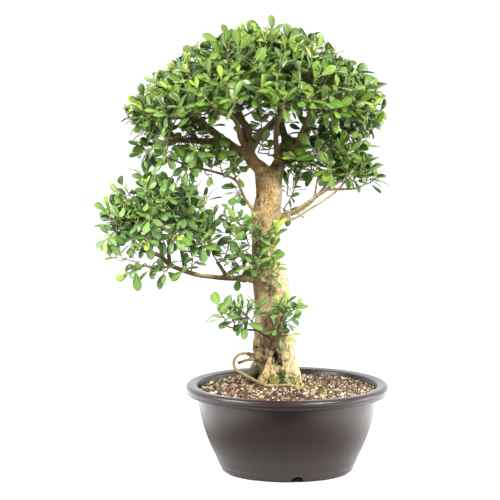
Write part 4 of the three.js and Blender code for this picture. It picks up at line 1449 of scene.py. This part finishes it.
PADS = [
    Pad("crown", (-62, 0, 690), (207, 168, 134), -0.2, 0.6, 1.4, 0.2, 0.06, (722, 664),
        ((-6, 250, 42), (-46, 104, 40), (-84, 26, 36)), edged=True),
    Pad("crown", (-66, -6, 676), (164, 128, 62), -0.8, 2.1, 1, 0.1, 0.03, (662, 636), ((0, 46, 34),),
        edged=True, bare=((-196, 66), (590, 706))),
    Pad("tier_left", (-214, -20, 654), (50, 70, 18), -0.6, 4.2, 1, -0.1, 0, (634, 634), ((-6, 15, 28),)),
    Pad("tier_right", (80, -6, 606), (48, 62, 32), -0.3, 3.0, 1, 0.15, 0, (588, 580), ((-6, 24, 34),)),
    Pad("tier_right", (126, -20, 580), (38, 40, 12), 0, 1.0, 1, 0.3, 0, (560, 560), ((-4, 11, 24),)),
    Pad("pad_left", (-254, 0, 520), (56, 56, 36), -0.5, 0.6, 1, 0.15, 0, (496, 496),
        ((-14, 28, 34), (-34, 5, 32))),
    Pad("pad_left", (-318, -6, 474), (40, 50, 18), -0.4, 1.9, 1, 0, 0, (466, 466), ((-12, 18, 32),)),
    Pad("pad_left", (-228, -16, 468), (70, 52, 38), -0.4, 3.4, 1, 0.1, -0.1, (452, 440), ((-12, 19, 34),)),
]

# Shoots on the bare boughs under the crown: where each starts, its way, length, leaves and size
WINDOW_SHOOTS = [
    ((-58, -30, 636), (0.3, -0.6, 0.6), 18, 4, 0.8), ((-38, -20, 630), (0.2, -0.5, 0.8), 20, 4, 0.8),
    ((-131, -44, 646), (0.2, -0.6, -0.3), 18, 3, 0.9), ((-145, -46, 680), (0.1, -0.4, -0.8), 20, 3, 1.05),
    ((-82, -30, 724), (0.2, -0.6, -0.4), 16, 4, 0.8), ((-23, -20, 724), (-0.2, -0.5, -0.6), 18, 4, 0.8),
    ((8, -24, 720), (0.2, -0.5, -0.6), 20, 5, 0.85), ((24, -10, 672), (0.4, -0.3, 0.5), 20, 4, 0.8),
    ((-117, -22, 622), (-0.3, -0.5, 0.5), 20, 4, 0.8), ((-98, -20, 610), (-0.4, -0.5, -0.2), 20, 4, 0.8),
    ((-173, -6, 634), (-0.1, -0.5, -0.5), 22, 5, 0.8), ((-196, 0, 640), (-0.3, -0.5, -0.4), 20, 5, 0.8),
    ((-226, 6, 642), (-0.2, -0.4, -0.6), 24, 5, 0.8), ((-143, -26, 612), (0.2, -0.5, 0.6), 22, 4, 0.8),
    ((-118, -24, 596), (0.6, -0.4, 0.4), 22, 4, 0.8), ((-104, -18, 584), (0.5, -0.6, 0.3), 18, 3, 0.8),
    ((-160, -30, 592), (0.4, -0.6, -0.1), 18, 3, 0.85), ((-24, 30, 640), (0.2, 0.3, 0.9), 30, 6, 0.8),
    ((-48, 34, 640), (-0.2, 0.3, 0.9), 30, 6, 0.8), ((-52, 40, 676), (0.1, 0.3, 0.9), 30, 6, 0.8),
    ((-8, 6, 602), (0.5, -0.6, 0.3), 22, 5, 0.85), ((16, 14, 606), (0.3, -0.5, 0.1), 26, 6, 0.85),
    ((10, 10, 590), (0.4, -0.4, -0.4), 20, 4, 0.8), ((-286, 20, 646), (-0.5, -0.3, -0.5), 26, 6, 0.85),
    ((-262, 6, 652), (-0.1, -0.5, -0.6), 24, 5, 0.85),
]

# Low and middle shoots: where each starts, its way, length, leaves and size, and True for one with a young tip
LOW_SHOOTS = [
    # along the thin left side branch
    ((-104, -18, 592), (-0.2, -0.5, 0.9), 30, 5, 0.8), ((-128, -24, 594), (-0.3, -0.3, 1), 36, 6, 0.85),
    ((-150, -28, 600), (0.1, -0.4, 1), 36, 6, 0.85), ((-176, -32, 604), (-0.2, -0.4, 0.9), 34, 6, 0.9),
    ((-112, -20, 600), (0.2, 0.4, 0.9), 34, 6, 0.8), ((-92, -14, 566), (-0.2, -0.5, -0.6), 26, 3, 0.9),
    ((-200, -36, 612), (0.1, -0.6, -0.4), 24, 5, 0.9), ((-86, -10, 548), (-0.7, -0.4, 0.3), 18, 4, 0.8),
    # along the left pad's bough
    ((-262, -30, 418), (-0.3, -0.6, -0.4), 30, 7, 0.95), ((-236, -30, 404), (-0.2, -0.8, -0.1), 30, 8, 0.9),
    ((-205, -36, 402), (0.1, -0.8, 0.3), 24, 6, 0.9), ((-282, -38, 416), (-0.7, -0.3, -0.5), 36, 5, 1.1, True),
    ((-292, -50, 420), (-0.8, -0.4, 0.2), 30, 6, 0.9), ((-345, -8, 486), (-0.4, -0.2, 1), 34, 8, 1, True),
    ((-190, -26, 402), (0.1, -0.4, 1), 54, 9, 0.9), ((-170, -30, 430), (0.3, -0.5, 1), 48, 8, 0.9),
    ((-148, -22, 434), (-0.3, -0.3, 1), 56, 8, 0.95), ((-125, -26, 424), (0.4, -0.4, 1), 44, 7, 0.9),
    ((-108, -24, 394), (-0.1, -0.4, 1), 40, 6, 0.9), ((-150, -20, 470), (0.2, -0.2, 1), 38, 7, 0.85),
    ((-196, -20, 450), (0.4, -0.3, 1), 50, 8, 0.9, True), ((-190, -10, 518), (0.2, -0.2, 1), 42, 9, 0.9),
    ((-178, 6, 510), (0.5, 0.1, 1), 42, 9, 0.9, True), ((-112, -18, 482), (0, -0.2, 1), 28, 5, 0.85),
    ((-96, -22, 388), (0.1, -0.9, 0.2), 18, 4, 0.9),
    # left of the trunk and in front of it
    ((-92, -34, 490), (-0.3, -0.8, 0.4), 36, 7, 0.85), ((-88, -20, 490), (-0.9, 0.1, 0.5), 40, 6, 0.85),
    ((-86, -48, 410), (0, -0.3, 1), 58, 9, 1), ((-86, -44, 404), (-0.8, -0.4, 0.7), 46, 7, 0.9),
    ((-84, -48, 402), (0.8, -0.6, 0.7), 38, 7, 0.9), ((-66, -42, 430), (0.1, -0.3, 1), 54, 9, 0.95, True),
    ((-60, -46, 446), (0.5, -0.4, 0.9), 44, 8, 0.9, True), ((-50, -50, 440), (0.8, -0.4, 1), 52, 8, 0.85, True),
    ((-76, -36, 452), (-0.3, -0.4, 1), 44, 8, 0.9), ((-38, -52, 396), (0.15, -0.2, 1), 62, 9, 0.95, True),
    ((-40, -50, 390), (0.7, -0.7, 0.8), 40, 6, 0.85, True), ((-42, -48, 388), (-0.7, -0.6, 0.8), 44, 7, 0.9),
    ((4, 18, 536), (0.4, 0.6, 0.8), 40, 7, 0.75), ((-6, 16, 520), (0.3, 0.5, -0.3), 30, 5, 0.8),
    ((0, 20, 548), (0.1, 0.5, 1), 34, 8, 0.75),
    # right of the trunk's foot
    ((-10, -56, 312), (0.25, -0.1, 1), 32, 9, 0.85, True), ((-14, -57, 306), (-0.4, -0.4, 1), 30, 7, 0.8, True),
    ((-8, -55, 306), (0.8, -0.3, 0.8), 36, 8, 0.85, True), ((-12, -58, 300), (1, -0.2, 0.4), 26, 6, 0.85),
    ((-22, -56, 286), (0, -0.9, 0.4), 18, 5, 0.75), ((-20, -58, 276), (1, -0.3, 0), 24, 4, 0.9, True),
    # left of the trunk's foot
    ((-74, -72, 310), (-0.5, -0.5, 0.8), 30, 8, 0.95, True), ((-70, -70, 308), (0.4, -0.5, 0.9), 26, 7, 0.9),
    ((-80, -72, 304), (-0.9, -0.2, 0.6), 34, 8, 0.9), ((-84, -74, 300), (-0.3, -0.7, 0.5), 26, 7, 0.95),
    ((-104, -80, 304), (-0.5, -0.5, 0.9), 26, 6, 1.05), ((-122, -84, 312), (-0.7, -0.1, 0.8), 20, 6, 1.1),
    ((-86, -76, 306), (0.1, -0.8, -0.3), 12, 3, 1.15),
]


class LeafPattern:
    """The common net of every leaf: an upper side of four strips, a lower side, and its stalk."""

    ROWS = (0.0, 0.14, 0.32, 0.52, 0.72, 0.88, 0.965, 1.0)
    HALF_WIDTHS = (0.06, 0.37, 0.74, 0.98, 1.0, 0.74, 0.38, 0.07)
    STRIPS = 4
    RIB_DEPTH = 0.5
    STALK_LENGTH = 8.0
    STALK_RADIUS = 0.75

    def __init__(self) -> None:
        """Models the net once."""
        Bench.clear()
        bpy.ops.mesh.primitive_grid_add(x_subdivisions=self.STRIPS, y_subdivisions=len(self.ROWS) - 1, size=2)
        sheet = bpy.context.object
        net = bmesh.new()
        net.from_mesh(sheet.data)
        bpy.data.objects.remove(sheet, do_unlink=True)
        columns = self.STRIPS + 1
        rows = len(self.ROWS)
        net.verts.ensure_lookup_table()
        across, along, depth, stalk = [], [], [], []
        for i, vertex in enumerate(net.verts):
            row = i // columns
            across.append(vertex.co.x * self.HALF_WIDTHS[row])
            along.append(self.ROWS[row])
            depth.append(0.0)
            stalk.append(0.0)
        below = [net.verts.new((0, 0, -1)) for _ in range(rows)]
        for row in range(rows):
            across.append(0.0)
            along.append(self.ROWS[row])
            depth.append(-self.RIB_DEPTH)
            stalk.append(0.0)
        net.verts.ensure_lookup_table()
        under = []
        for row in range(rows - 1):
            left, left_on = net.verts[row * columns], net.verts[(row + 1) * columns]
            right, right_on = net.verts[(row + 1) * columns - 1], net.verts[(row + 2) * columns - 1]
            under.append(net.faces.new((left, left_on, below[row + 1], below[row])))
            under.append(net.faces.new((below[row], below[row + 1], right_on, right)))
        first = [net.verts[column] for column in range(columns)]
        last = [net.verts[(rows - 1) * columns + column] for column in range(columns)]
        under.append(net.faces.new([first[0], below[0]] + first[:0:-1]))
        under.append(net.faces.new(last + [below[-1]]))
        rings = []
        for end in (-1.0, 0.0):
            ring = []
            for turn in range(3):
                ring.append(net.verts.new((0, 0, 0)))
                across.append(math.sin(2 * math.pi * turn / 3))
                along.append(0.0)
                depth.append(math.cos(2 * math.pi * turn / 3))
                stalk.append(1.0 if end < 0 else 0.5)
            rings.append(ring)
        low, high = rings
        stem = [net.faces.new((low[j], low[(j + 1) % 3], high[(j + 1) % 3], high[j])) for j in range(3)]
        stem += [net.faces.new(low[::-1]), net.faces.new(high)]
        net.verts.index_update()
        kinds = {face: 1 for face in under}
        kinds.update({face: 2 for face in stem})
        self.faces = [[vertex.index for vertex in face.verts] for face in net.faces]
        self.kinds = np.array([kinds.get(face, 0) for face in net.faces])
        net.free()
        self.across = np.array(across)
        self.along = np.array(along)
        self.depth = np.array(depth)
        self.stalk = np.array(stalk)
        widths = np.interp(self.along, self.ROWS, self.HALF_WIDTHS)
        self.uv = np.stack([0.5 + 0.5 * np.where(self.stalk > 0, 0, self.across / widths), self.along], 1)


@dataclass
class Leaves:
    """All the leaves of one group, as rows of numbers until they are made a piece."""

    name: str
    rows: list[np.ndarray] = field(default_factory=list)

    def add(self, place: np.ndarray, way: np.ndarray, face: np.ndarray, length: float, youth: float,
            light: float, blue_tint_and_sheen: float, random: Random) -> None:
        """Adds one leaf.

        Args:
            place: The node on the shoot where its stalk starts.
            way: The direction that it points.
            face: The direction that its upper side faces, roughly.
            length: The blade's length in millimetres.
            youth: 0 for an old leaf, 1 for one that has just opened.
            light: How light the leaves round it are, from 0 to 1, darker at the crown's top as painted shade and
                paler on the pad partly as painted light.
            blue_tint_and_sheen: How much bluish tint it has, from 0 to 1: partly the leaf's own bluish green and
                partly painted sheen.
            random: The source of random numbers.
        """
        face = unit(face - way * float(face @ way))
        width = length * random.uniform(0.46, 0.62)
        shape = [length, width, random.uniform(0.02, 0.34), random.uniform(0.0, 0.36), random.normal(0, 0.35)]
        tone = [youth, float(np.clip(random.normal(light, 0.32), 0, 1)), blue_tint_and_sheen * random.uniform(0.5, 1.2)]
        self.rows.append(np.concatenate([place, way, face, shape, tone]))

    def build(self, pattern: LeafPattern, site: Site) -> Piece:
        """Makes the group's piece.

        Args:
            pattern: The leaves' common net.
            site: Where the pot's axis stands.

        Returns:
            The piece with its blade coordinates and tones.
        """
        table = np.array(self.rows)
        place, way, face = (table[:, None, i:i + 3] for i in (0, 3, 6))
        length, width, arch, fold, twist, youth, shade, blue_tint_and_sheen = (table[:, i:i + 1] for i in range(9, 17))
        side = np.cross(way, face)
        on_stalk = pattern.stalk > 0
        blade_along = pattern.along * length
        stalk_along = np.where(pattern.stalk > 0.75, -pattern.STALK_LENGTH, 1.2)
        along = np.where(on_stalk, stalk_along, blade_along) + pattern.STALK_LENGTH * length / 36
        across = np.where(on_stalk, pattern.across * pattern.STALK_RADIUS, pattern.across * width * 0.5)
        bow = -arch * length * pattern.along ** 2
        edge = pattern.across ** 2 * width
        rise = np.where(on_stalk, pattern.depth * pattern.STALK_RADIUS,
                        pattern.depth + bow + fold * np.abs(across) - 0.22 * fold * edge)
        turn = twist * pattern.along
        across, rise = across * np.cos(turn) - rise * np.sin(turn), across * np.sin(turn) + rise * np.cos(turn)
        points = place + along[..., None] * way + across[..., None] * side + rise[..., None] * face
        points = site.to_frame(points)
        kept = np.all((points > site.low + 0.5 * MM) & (points < site.high - 0.5 * MM), axis=(1, 2))
        points, youth, shade, blue_tint_and_sheen = (rows[kept] for rows in (points, youth, shade, blue_tint_and_sheen))
        count = points.shape[1]
        faces = [[corner + i * count for corner in corners]
                 for i in range(len(points)) for corners in pattern.faces]
        piece = new_piece(self.name, points.reshape(-1, 3), faces)
        mesh = piece.data
        tones = np.stack([youth, shade, blue_tint_and_sheen, np.ones_like(youth)], 2)
        paint(mesh, "leaf_tone", np.repeat(tones, count, axis=1).reshape(-1, 4))
        corner_of = np.empty(len(mesh.loops), dtype=np.int32)
        mesh.loops.foreach_get("vertex_index", corner_of)
        layer = mesh.uv_layers.new(name="blade")
        layer.data.foreach_set("uv", pattern.uv[corner_of % count].ravel())
        for finish in (LeafTop(), LeafUnder(), Stalk()):
            mesh.materials.append(finish.material())
        mesh.polygons.foreach_set("material_index", np.tile(pattern.kinds, len(points)).astype(np.int32))
        mesh.update()
        return piece


@dataclass
class Foliage:
    """All the shoots, the twigs that carry them and their leaves."""

    site: Site
    wood: list[np.ndarray]
    nodes: list[str]
    twig_sides: int = 5
    twig_thickest: float = 2.4
    twig_radius: float = 1.25
    twig_tip: float = 0.75
    leaf_length: float = 32.0
    light_turns_round: Triple = (-50, 20, 0)
    # rows of a twig's line beyond the shoot's base, where the leaves are
    leafy_rows: int = 8
    # how bluish the leaves of two groups are, and those of all the others: partly their own bluish green and
    # partly painted sheen
    blue_tint_and_sheen: dict[str, float] = field(default_factory=lambda: {"low": 0.45, "pad_left": 0.85})
    least_blue_tint_and_sheen: float = 0.08

    def shoots(self, random: Random) -> list[Shoot]:
        """The shoots of all the pads and the single low ones.

        Args:
            random: The source of random numbers.

        Returns:
            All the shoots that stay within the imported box.
        """
        made = [shoot for pad in PADS for shoot in pad.shoots(random)]
        made += [Shoot.by_hand("crown", *row) for row in WINDOW_SHOOTS]
        made += [Shoot.by_hand("low", *row) for row in LOW_SHOOTS]
        return [shoot for shoot in made if self.fits(shoot)]

    def fits(self, shoot: Shoot) -> bool:
        """Whether a shoot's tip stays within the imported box."""
        tip = self.site.to_frame(shoot.base + shoot.length * shoot.way)
        return bool(np.all((tip > self.site.low + 2 * MM) & (tip < self.site.high - 2 * MM)))

    def grow(self, random: Random) -> tuple[list[np.ndarray], dict[Group, Leaves]]:
        """Grows a twig and leaves for every shoot, nearest to the wood first.

        Args:
            random: The source of random numbers.

        Returns:
            The twigs' lines of x, y, z and radius, and the leaves by group.
        """
        known = np.vstack(self.wood)
        shoots = self.shoots(random)
        gaps = [np.min(np.linalg.norm(known[:, :3] - shoot.base, axis=1)) for shoot in shoots]
        twigs: list[np.ndarray] = []
        leaves = {group: Leaves(group.value) for group in Group}
        for index in np.argsort(gaps):
            shoot = shoots[int(index)]
            twig = self.twig(shoot, known, random)
            twigs.append(twig)
            # the next twigs may branch from this one, but not from its tip
            known = np.vstack([known, twig[:-4:2]])
            self.clothe(shoot, twig, leaves[self.group_of(shoot)], random)
        return twigs, leaves

    @staticmethod
    def group_of(shoot: Shoot) -> Group:
        """The leafy part that a shoot belongs to.

        Args:
            shoot: The shoot.

        Returns:
            Its group.
        """
        if shoot.group == "crown":
            return Group.CROWN_FRONT if shoot.base[1] < 0 else Group.CROWN_BACK
        return {"tier_left": Group.TIER_LEFT, "tier_right": Group.TIER_RIGHT, "pad_left": Group.PAD_LEFT,
                "low": Group.LOW}[shoot.group]

    def twig(self, shoot: Shoot, known: np.ndarray, random: Random) -> np.ndarray:
        """A twig from the best place on the wood, through the shoot's base, to its tip.

        Args:
            shoot: The shoot to carry.
            known: Rows of x, y, z and radius of the wood so far.
            random: The source of random numbers.

        Returns:
            Rows of x, y, z and radius; the last leafy_rows rows are the leafy part.
        """
        away = shoot.base - known[:, :3]
        gap = np.linalg.norm(away, axis=1)
        # near wood is best; wood above the shoot, thick wood, wood ahead of it and touching wood cost more
        cost = gap + 0.6 * np.maximum(0, -away[:, 2]) + 30 * (known[:, 3] > 8)
        cost += 25 * (away @ shoot.way < 0) + 200 * (gap < 5)
        root = known[int(np.argmin(cost))]
        start = root[:3]
        span = np.linalg.norm(shoot.base - start)
        toward = unit(shoot.base - start) + 0.5 * UP + random.normal(scale=0.2, size=3)
        lean = start + 0.35 * span * unit(toward)
        arrive = shoot.base - 0.35 * span * shoot.way
        t = np.linspace(0, 1, self.leafy_rows + 1)[:, None]
        line = (1 - t) ** 3 * start + 3 * (1 - t) ** 2 * t * lean
        line = line + 3 * (1 - t) * t ** 2 * arrive + t ** 3 * shoot.base
        bend = random.normal(scale=0.1, size=3)
        out = t[1:]
        tip = shoot.base + shoot.length * (out * shoot.way + out ** 2 * (bend + 0.12 * UP))
        places = np.vstack([line, tip])
        thick = np.clip(0.5 * root[3], self.twig_radius, self.twig_thickest)
        radii = np.concatenate([np.linspace(thick, self.twig_radius, len(line)),
                                np.linspace(1.2, self.twig_tip, self.leafy_rows)])
        return np.column_stack([places, radii])

    def clothe(self, shoot: Shoot, twig: np.ndarray, leaves: Leaves, random: Random) -> None:
        """Puts a shoot's leaves on the leafy part of its twig.

        Args:
            shoot: The shoot.
            twig: Its line, of which the last leafy_rows rows are leafy.
            leaves: The group that takes the leaves.
            random: The source of random numbers.
        """
        line = twig[-self.leafy_rows - 1:, :3]
        helper = unit(np.cross(shoot.way, [0.3, 0.9, 0.1]))
        other = np.cross(shoot.way, helper)
        start = random.uniform(0, 2 * math.pi)
        for i in range(shoot.leaves):
            share = 0.12 + 0.88 * i / max(shoot.leaves - 1, 1)
            row = share * self.leafy_rows
            low = min(int(row), self.leafy_rows - 1)
            place = line[low] + (row - low) * (line[low + 1] - line[low])
            turn = start + GOLDEN_ANGLE * i
            outward = math.cos(turn) * helper + math.sin(turn) * other
            opening = 1.4 - 0.75 * share + random.normal(0, 0.24)
            top = shoot.young and i >= shoot.leaves - 2
            if top:
                opening *= 0.55
            lifted = random.normal(0.06, 0.14) * UP
            way = unit(math.sin(opening) * outward + math.cos(opening) * shoot.way + lifted)
            outside = unit((place - self.light_turns_round) * np.array([1, 1, 0]))
            face = 0.7 * shoot.way + 0.9 * UP + 0.3 * outside + random.normal(scale=0.42, size=3)
            if top:
                youth = random.uniform(0.7, 1.0)
            else:
                youth = max(0.0, random.normal(0.06, 0.09) + 0.12 * (share > 0.8))
            length = self.leaf_length * shoot.size * random.uniform(0.85, 1.12) * (0.75 if top else 1)
            length *= 1 - 0.12 * abs(share - 0.55)
            blue_tint_and_sheen = self.blue_tint_and_sheen.get(shoot.group, self.least_blue_tint_and_sheen)
            # painted shade: darker leaves at the crown's top, where the light is strongest; paler ones on the
            # pad, partly their own paler green and partly painted light
            high = float(np.clip((place[2] - 740) / 100, 0, 1))
            light = 0.5 - 0.62 * high + 0.5 * (shoot.group == "pad_left")
            if shoot.group != "crown" or inside_crown(place + (length + OUTLINE_MARGIN) * way):
                leaves.add(place, way, face, length, float(np.clip(youth, 0, 1)), light, blue_tint_and_sheen, random)

    def build_twigs(self, twigs: list[np.ndarray]) -> Piece:
        """The piece of all the fine twigs.

        Args:
            twigs: Their lines of x, y, z and radius.

        Returns:
            The piece.
        """
        points, faces, tones = [], [], []
        total = 0
        angles = 2 * math.pi * np.arange(self.twig_sides) / self.twig_sides
        for twig in twigs:
            centre, radius = twig[:, :3], twig[:, 3]
            along = unit(np.gradient(centre, axis=0))
            helper = np.array([0.0, 0.0, 1.0]) if abs(along[0, 2]) < 0.8 else np.array([0.0, 1.0, 0.0])
            first = unit(np.cross(helper, along))
            second = np.cross(along, first)
            ring = np.cos(angles)[None, :, None] * first[:, None]
            ring = ring + np.sin(angles)[None, :, None] * second[:, None]
            points.append((centre[:, None] + radius[:, None, None] * ring).reshape(-1, 3))
            rows, sides = len(twig), self.twig_sides
            for i in range(rows - 1):
                for j in range(sides):
                    k = (j + 1) % sides
                    a, b = total + i * sides, total + (i + 1) * sides
                    faces.append([a + j, a + k, b + k, b + j])
            faces.append([total + j for j in range(sides)][::-1])
            faces.append([total + (rows - 1) * sides + j for j in range(sides)])
            fresh = np.clip((np.arange(rows) - (rows - 7)) / 6, 0, 1)
            tone = np.stack([0.25 * fresh, 0.18 + 0.25 * fresh, 0.4 * fresh, np.zeros(rows)], 1)
            tones.append(np.repeat(tone, sides, axis=0))
            total += rows * sides
        piece = new_piece("twigs", self.site.to_frame(np.vstack(points)), faces)
        paint(piece.data, "bark_tone", np.vstack(tones))
        piece.data.materials.append(Bark().material())
        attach(piece, "root")
        return piece

    def build(self, random: Random) -> list[Piece]:
        """Makes the twigs and every group of leaves.

        Args:
            random: The source of random numbers.

        Returns:
            All the pieces.
        """
        twigs, leaves = self.grow(random)
        pieces = [self.build_twigs(twigs)]
        pattern = LeafPattern()
        for group, batch in leaves.items():
            piece = batch.build(pattern, self.site)
            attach(piece, "root")
            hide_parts(*self.nodes_of(group))
            pieces.append(piece)
        return pieces

    def nodes_of(self, group: Group) -> list[str]:
        """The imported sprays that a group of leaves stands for.

        Args:
            group: The group.

        Returns:
            The sprays' names.
        """
        names = [name for name in self.nodes if name.startswith("spray_")]
        crown = [name for name in names if name.startswith("spray_crown")]
        if group in (Group.CROWN_FRONT, Group.CROWN_BACK):
            front = [name for name in crown if self.middle_y(name) < 0]
            return front if group is Group.CROWN_FRONT else [name for name in crown if name not in front]
        starts = {Group.TIER_LEFT: "spray_tier_left", Group.TIER_RIGHT: "spray_tier_right",
                  Group.PAD_LEFT: "spray_pad_left"}
        if group in starts:
            return [name for name in names if name.startswith(starts[group])]
        taken = tuple(["spray_crown", *starts.values()])
        return [name for name in names if not name.startswith(taken)]

    def middle_y(self, name: str) -> float:
        """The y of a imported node's middle in the plant's axes."""
        low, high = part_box(name)
        return float(self.site.to_plant(np.array([(low[i] + high[i]) / 2 for i in range(3)]))[1])


@dataclass(frozen=True)
class Studio:
    """The pale floor, the soft lights and the camera at the photograph's angle."""

    site: Site
    distance: float = 3400.0
    height: float = 780.0
    aim: float = 439.6
    aside: float = -74.0
    lens: float = 123.96
    ambient: float = 0.46
    front_glow: float = 0.05
    # how brightly the floor glows beside and round the pot: a painted reflection on the pot's sides and painted
    # light on its lower wall
    right_sheen: float = 4.2
    left_sheen: float = 3.9
    near_sheen: float = 1.3
    back_glow: float = 2.3
    seen_glow: float = 1.06
    floor_grey: float = 0.15
    # how far from the pot's axis, in metres, the floor that the camera sees turns white
    white_from: tuple[float, float] = (0.124, 0.134)

    def build(self) -> None:
        """Sets up the floor, the lights, the world and the camera."""
        self.add_camera()
        self.add_floor()
        self.add_lamp("key_softbox", (1.6, -1.9, 2.1), 0.7, 172)
        self.add_lamp("left_softbox", (-2.1, -0.9, 1.6), 1.0, 130)
        self.add_lamp("low_right_strip", (2.0, 0.1, 0.4), 0.9, 34)
        scene = bpy.context.scene
        world = bpy.data.worlds.new("pale_studio")
        world.use_nodes = True
        wiring = Wiring(world.node_tree)
        path = wiring.add("LightPath")
        way = wiring.add("SeparateXYZ", {0: wiring.add("TexCoord").outputs["Generated"]})
        behind = wiring.steps(way.outputs[1], -0.3, 0.7)
        mirrored = wiring.plus(wiring.times(behind, self.back_glow - self.front_glow), self.front_glow)
        glossy, seen = path.outputs["Is Glossy Ray"], path.outputs["Is Camera Ray"]
        strength = wiring.add("Mix", {0: glossy, 2: self.ambient, 3: mirrored}).outputs[0]
        strength = wiring.add("Mix", {0: seen, 2: strength, 3: self.seen_glow}).outputs[0]
        sky = wiring.add("Background", {"Color": (1, 1, 1, 1), "Strength": strength})
        wiring.add("OutputWorld", {"Surface": sky.outputs[0]})
        scene.world = world
        scene.view_settings.view_transform = "Standard"
        scene.view_settings.look = "None"

    def add_camera(self) -> None:
        """The camera at the photograph's height, distance and angle."""
        lens = bpy.data.cameras.new("camera")
        lens.lens = self.lens
        lens.sensor_width = 36
        camera = bpy.data.objects.new("camera", lens)
        camera.location = self.site.to_frame(np.array([self.aside, -self.distance, self.height]))
        pitch = math.atan2(self.height - self.aim, self.distance)
        camera.rotation_euler = (math.pi / 2 - pitch, 0, 0)
        bpy.context.scene.collection.objects.link(camera)
        bpy.context.scene.camera = camera

    def add_floor(self) -> None:
        """The near-white floor, level with the pot's foot, which glows: white for the camera beyond the pot's
        foot, as a painted reflection on the pot's sides, and as painted light on the pot's lower wall.
        """
        Bench.clear()
        bpy.ops.mesh.primitive_plane_add(size=24, location=(self.site.axis_x, self.site.axis_y, 0))
        floor = bpy.context.object
        floor.name = "floor"
        pale = bpy.data.materials.new("pale_floor")
        pale.use_nodes = True
        wiring = Wiring(pale.node_tree)
        place = wiring.add("TexCoord").outputs["Object"]
        reach = wiring.add("VectorMath", {0: place}, operation="LENGTH").outputs["Value"]
        path = wiring.add("LightPath")
        glow = wiring.times(wiring.steps(reach, *self.white_from), path.outputs["Is Camera Ray"])
        aside = wiring.add("SeparateXYZ", {0: place}).outputs[0]
        # painted reflection: beside the pot the floor glows only in reflections, for the sheen on the pot's
        # right and left
        sheen = wiring.times(wiring.steps(aside, 0.12, 0.5), self.right_sheen)
        sheen = wiring.plus(sheen, wiring.times(wiring.steps(aside, -0.2, -0.5), self.left_sheen))
        glow = wiring.plus(glow, wiring.times(sheen, path.outputs["Is Glossy Ray"]))
        unseen = wiring.math("SUBTRACT", 1.0, path.outputs["Is Camera Ray"])
        # painted light: round the pot's foot the floor glows for every ray but the camera's, and lights the
        # pot's lower wall
        near = wiring.times(wiring.steps(reach, 0.3, 0.14), self.near_sheen)
        glow = wiring.plus(glow, wiring.times(near, unseen))
        grey = (self.floor_grey, self.floor_grey, self.floor_grey, 1)
        shader = wiring.add("BsdfPrincipled", {"Base Color": grey, "Roughness": 0.9,
                                               "Emission Color": (1, 1, 1, 1), "Emission Strength": glow})
        wiring.add("OutputMaterial", {"Surface": shader.outputs[0]})
        floor.data.materials.append(pale)
        floor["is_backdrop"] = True

    def add_lamp(self, name: str, place: Triple, size: float, power: float) -> None:
        """One square soft light that faces the plant's middle.

        Args:
            name: The light's name.
            place: Its place from the pot's axis, in metres.
            size: The length of its sides, in metres.
            power: Its power in watts.
        """
        data = bpy.data.lights.new(name, "AREA")
        data.shape = "SQUARE"
        data.size = size
        data.energy = power
        lamp = bpy.data.objects.new(name, data)
        lamp.location = (place[0] + self.site.axis_x, place[1] + self.site.axis_y, place[2])
        aim = Vector((self.site.axis_x - 0.06, self.site.axis_y, 0.45)) - lamp.location
        lamp.rotation_euler = aim.to_track_quat("-Z", "Y").to_euler()
        bpy.context.scene.collection.objects.link(lamp)


def main() -> None:
    """Builds every piece of the plant, then the studio, and notes the sizes."""
    logging.basicConfig(level=logging.INFO, format="%(name)s: %(message)s")
    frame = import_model()
    site = Site.from_pot()
    random = np.random.default_rng(SEED)

    pot = TrainingPot(site).build()
    LOG.info("%s: %d faces", pot.name, len(pot.data.polygons))
    wood = WoodyBody(site)
    trunk = wood.build()
    LOG.info("%s: %d faces", trunk.name, len(trunk.data.polygons))
    soil = Soil(site)
    bed, grains = soil.build_bed(), soil.build_grains(TRUNK_FOOT, random)
    for piece in (bed, grains, Moss(site).build(trunk, soil, random)):
        LOG.info("%s: %d faces", piece.name, len(piece.data.polygons))
    nodes = [part["node"] for part in frame["record"]["subparts"]]
    for piece in Foliage(site, wood.samples, nodes).build(random):
        LOG.info("%s: %d faces", piece.name, len(piece.data.polygons))
    Studio(site).build()


if __name__ == "__main__":
    main()
